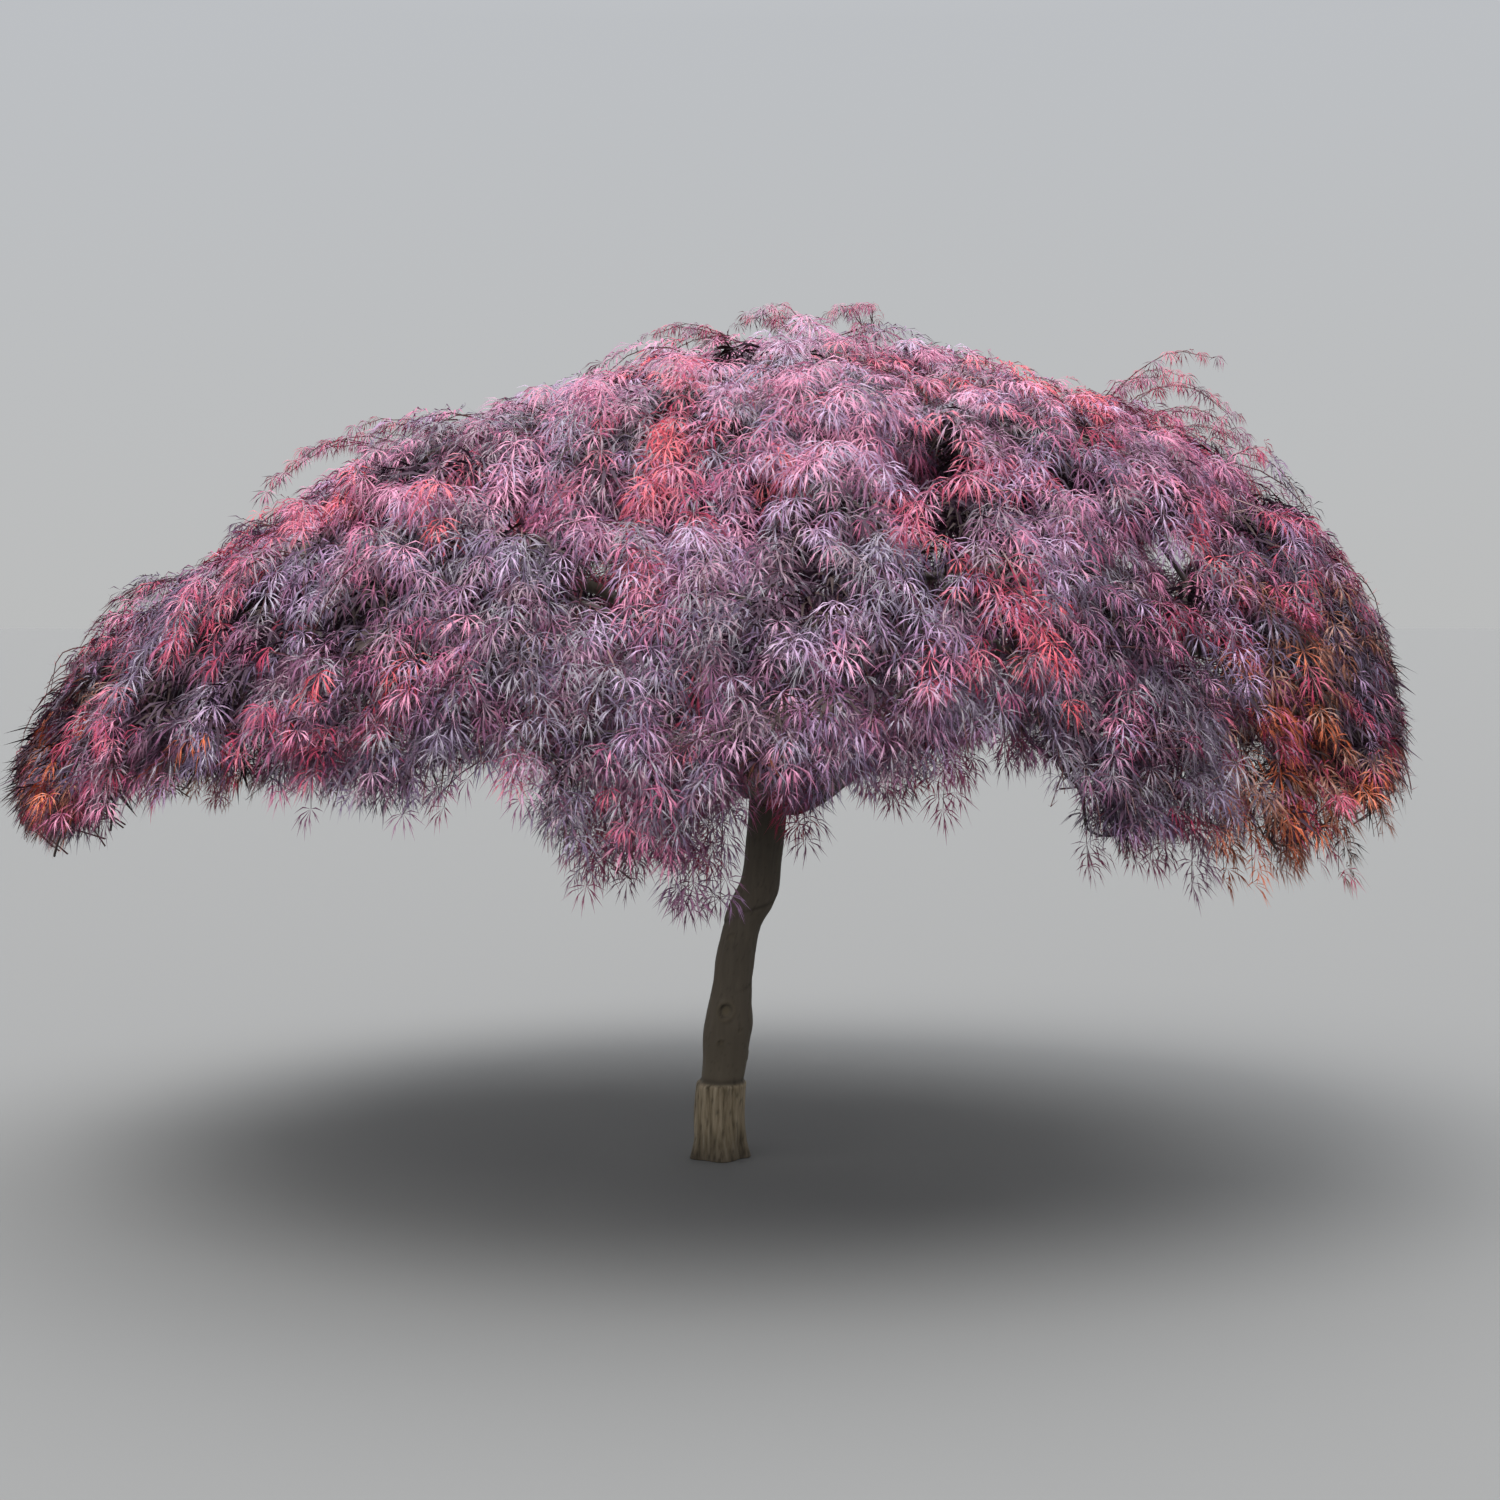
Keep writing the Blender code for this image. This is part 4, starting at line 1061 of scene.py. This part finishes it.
for n in BOUGHS:
    line, rad = cores[n]
    prev = -1
    for p, q in zip(line[len(line) // 3:], rad[len(line) // 3:]):
        prev = skel_add(p, prev, q)
order = sorted(range(len(roots)), key=lambda i: np.hypot(*(roots[i][0][:2] - FORK[:2])))
links = []
for i in order:
    p, heading = roots[i]
    P = np.array(skel_p)
    d = np.linalg.norm(P - p, axis=1)
    out_p = np.hypot(*(p[:2] - FORK[:2]))
    out_q = np.hypot(P[:, 0] - FORK[0], P[:, 1] - FORK[1])
    cost = d + 1.2 * np.maximum(0.0, out_q - out_p + 0.03) + 0.45 * np.maximum(0.0, p[2] - P[:, 2])
    q, least = 0, 1e9
    for k in np.argsort(cost)[:40]:
        # A way through the open space under the crown costs more.
        open_way = sum(max(0.0, beyond(P[k] * (1 - t) + p * t) - 0.01) for t in (0.25, 0.5, 0.75))
        if cost[k] + 5.0 * open_way < least:
            q, least = int(k), cost[k] + 5.0 * open_way
    start = P[q]
    par = skel_parent[q]
    way = unit(start - skel_p[par]) if par >= 0 else unit(p - start)
    L = np.linalg.norm(p - start)
    m = max(3, int(L / 0.05))
    t = np.linspace(0, 1, m + 1)[1:, None]
    c1 = start + way * min(0.35 * L, 0.10) + np.array([0, 0, 0.12 * L])
    c2 = p + heading * min(0.7 * L, 0.3) + np.array([0, 0, 0.05 * L])
    curve = start * (1 - t) ** 3 + c1 * 3 * t * (1 - t) ** 2 + c2 * 3 * t * t * (1 - t) + p * t ** 3
    if beyond(start) < 0.0:
        for j in range(len(curve) - 1):
            out = beyond(curve[j])
            if out > -0.03:
                loc, nor, _, _ = skin.find_nearest(Vector(curve[j]))
                curve[j] = np.array(loc) - np.array(nor) * 0.045
    ids = [q]
    for c in curve:
        ids.append(skel_add(c, ids[-1]))
    links.append(ids)
load = np.zeros(len(skel_p))
for ids in links:
    k = ids[-1]
    while k >= 0:
        load[k] += 1
        k = skel_parent[k]
for ids in links:
    pp = np.array([skel_p[k] for k in ids])
    rr = 0.0032 * np.power(np.maximum(load[ids], 1.0), 0.46)
    rr[0] = min(rr[0], rr[1] * 1.15)
    if skel_r0[ids[0]]:
        rr[0] = min(rr[1] * 1.2, skel_r0[ids[0]])
    rr = np.minimum(rr, 0.016)
    fine = catmull(np.concatenate([pp, rr[:, None]], 1), 2)
    v, f = tube(fine[:, :3], fine[:, 3], 6)
    branches.add(v, f)

# --------------------------------------------------------------------- pieces
wood, wnt, wp = new_material("branch_bark")
tc = wnt.nodes.new("ShaderNodeTexCoord")
no = wnt.nodes.new("ShaderNodeTexNoise")
no.inputs["Scale"].default_value = 70.0
wnt.links.new(tc.outputs["Object"], no.inputs["Vector"])
bp = wnt.nodes.new("ShaderNodeBump")
bp.inputs["Distance"].default_value = 0.001
wnt.links.new(no.outputs["Fac"], bp.inputs["Height"])
wnt.links.new(bp.outputs["Normal"], wp.inputs["Normal"])
wp.inputs["Base Color"].default_value = (0.040, 0.028, 0.024, 1.0)
wp.inputs["Roughness"].default_value = 0.75
twig_mat = leaf_material("twig_bark", (0.085, 0.024, 0.026), 0.5)
stalk_mat = leaf_material("leaf_stalk", (0.180, 0.022, 0.030), 0.5)

for name, pile, mat, slot in (("branches", branches, wood, "bough_bark"),
                              ("twigs", twigs, twig_mat, "bough_bark"),
                              ("leaf_stalks", stalks, stalk_mat, "leaf_crimson")):
    ob = pile.build(name, smooth=name == "branches")
    ob.data.materials.append(mat)
    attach(ob, "root")
total = 0
for name, (rgb, rough, slot) in PALETTE.items():
    pile = piles[name]
    if not pile.v:
        continue
    mat = leaf_material("leaf_" + name, rgb, rough, 0.55 if rough < 0.55 else 0.15)
    # A pile over the limit is dealt out to several pieces.
    parts, cur = [], Pile()
    for v, f, n0 in zip(pile.v, pile.f, np.cumsum([0] + [len(v) for v in pile.v])[:-1]):
        if cur.tris() > 190000:
            parts.append(cur)
            cur = Pile()
        cur.add(v, f - n0)
    parts.append(cur)
    for j, part in enumerate(parts):
        ob = part.build("leaves_%s%s" % (name, "" if j == 0 else "_%d" % (j + 1)), smooth=True)
        ob.data.materials.append(mat)
        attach(ob, "root")
        total += part.tris()
for i, n in enumerate(MASSES + [s[0] for s in SPRAYS]):
    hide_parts(n)
print("leaves", leaf_count, "leaf tris", total, "twigs", twigs.tris(), "stalks", stalks.tris(),
      "branches", branches.tris(), "tiers", len(tiers))

# ------------------------------------------------------- floor, light, camera
bpy.ops.mesh.primitive_plane_add(size=400.0, location=(0, 0, -0.001))
floor = bpy.context.object
floor.name = "floor"
fm, fnt, fp = new_material("floor")
fp.inputs["Base Color"].default_value = (0.120, 0.120, 0.118, 1.0)
fp.inputs["Roughness"].default_value = 0.9
floor.data.materials.append(fm)
floor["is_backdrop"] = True

world = bpy.data.worlds.new("world")
bpy.context.scene.world = world
world.use_nodes = True
wnt = world.node_tree
bg = wnt.nodes["Background"]
wtc = wnt.nodes.new("ShaderNodeTexCoord")
wsep = wnt.nodes.new("ShaderNodeSeparateXYZ")
wnt.links.new(wtc.outputs["Generated"], wsep.inputs["Vector"])
sky = ramp(wnt, wsep.outputs["Z"], [(0.0, (0.435, 0.44, 0.44)), (0.25, (0.44, 0.455, 0.475)), (0.85, (1.0, 1.03, 1.08))])
wnt.links.new(sky, bg.inputs["Color"])
bg.inputs["Strength"].default_value = 1.15


def sun(name, source, angle, energy, colour=(1, 1, 1)):
    li = bpy.data.lights.new(name, "SUN")
    li.energy = energy
    li.angle = math.radians(angle)
    li.color = colour
    ob = bpy.data.objects.new(name, li)
    bpy.context.scene.collection.objects.link(ob)
    ob.rotation_euler = (-Vector(source)).to_track_quat("-Z", "Y").to_euler()
    return ob


sun("key", (-2.2, -2.6, 6.0), 45.0, 2.9, (1.0, 0.985, 0.96))
sun("sky", (0.3, 0.1, 8.0), 80.0, 4.6, (0.96, 0.98, 1.0))

cam_data = bpy.data.cameras.new("camera")
cam = bpy.data.objects.new("camera", cam_data)
bpy.context.scene.collection.objects.link(cam)
cam.location = VIEWER
cam.rotation_euler = (math.radians(90.0 - 3.57), 0.0, 0.0)
cam_data.sensor_width = 36.0
cam_data.lens = 2237.0 / 1500.0 * 36.0
cam_data.clip_end = 200.0
bpy.context.scene.camera = cam

try:
    bpy.context.scene.view_settings.view_transform = "Standard"
except TypeError:
    pass

low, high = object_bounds()
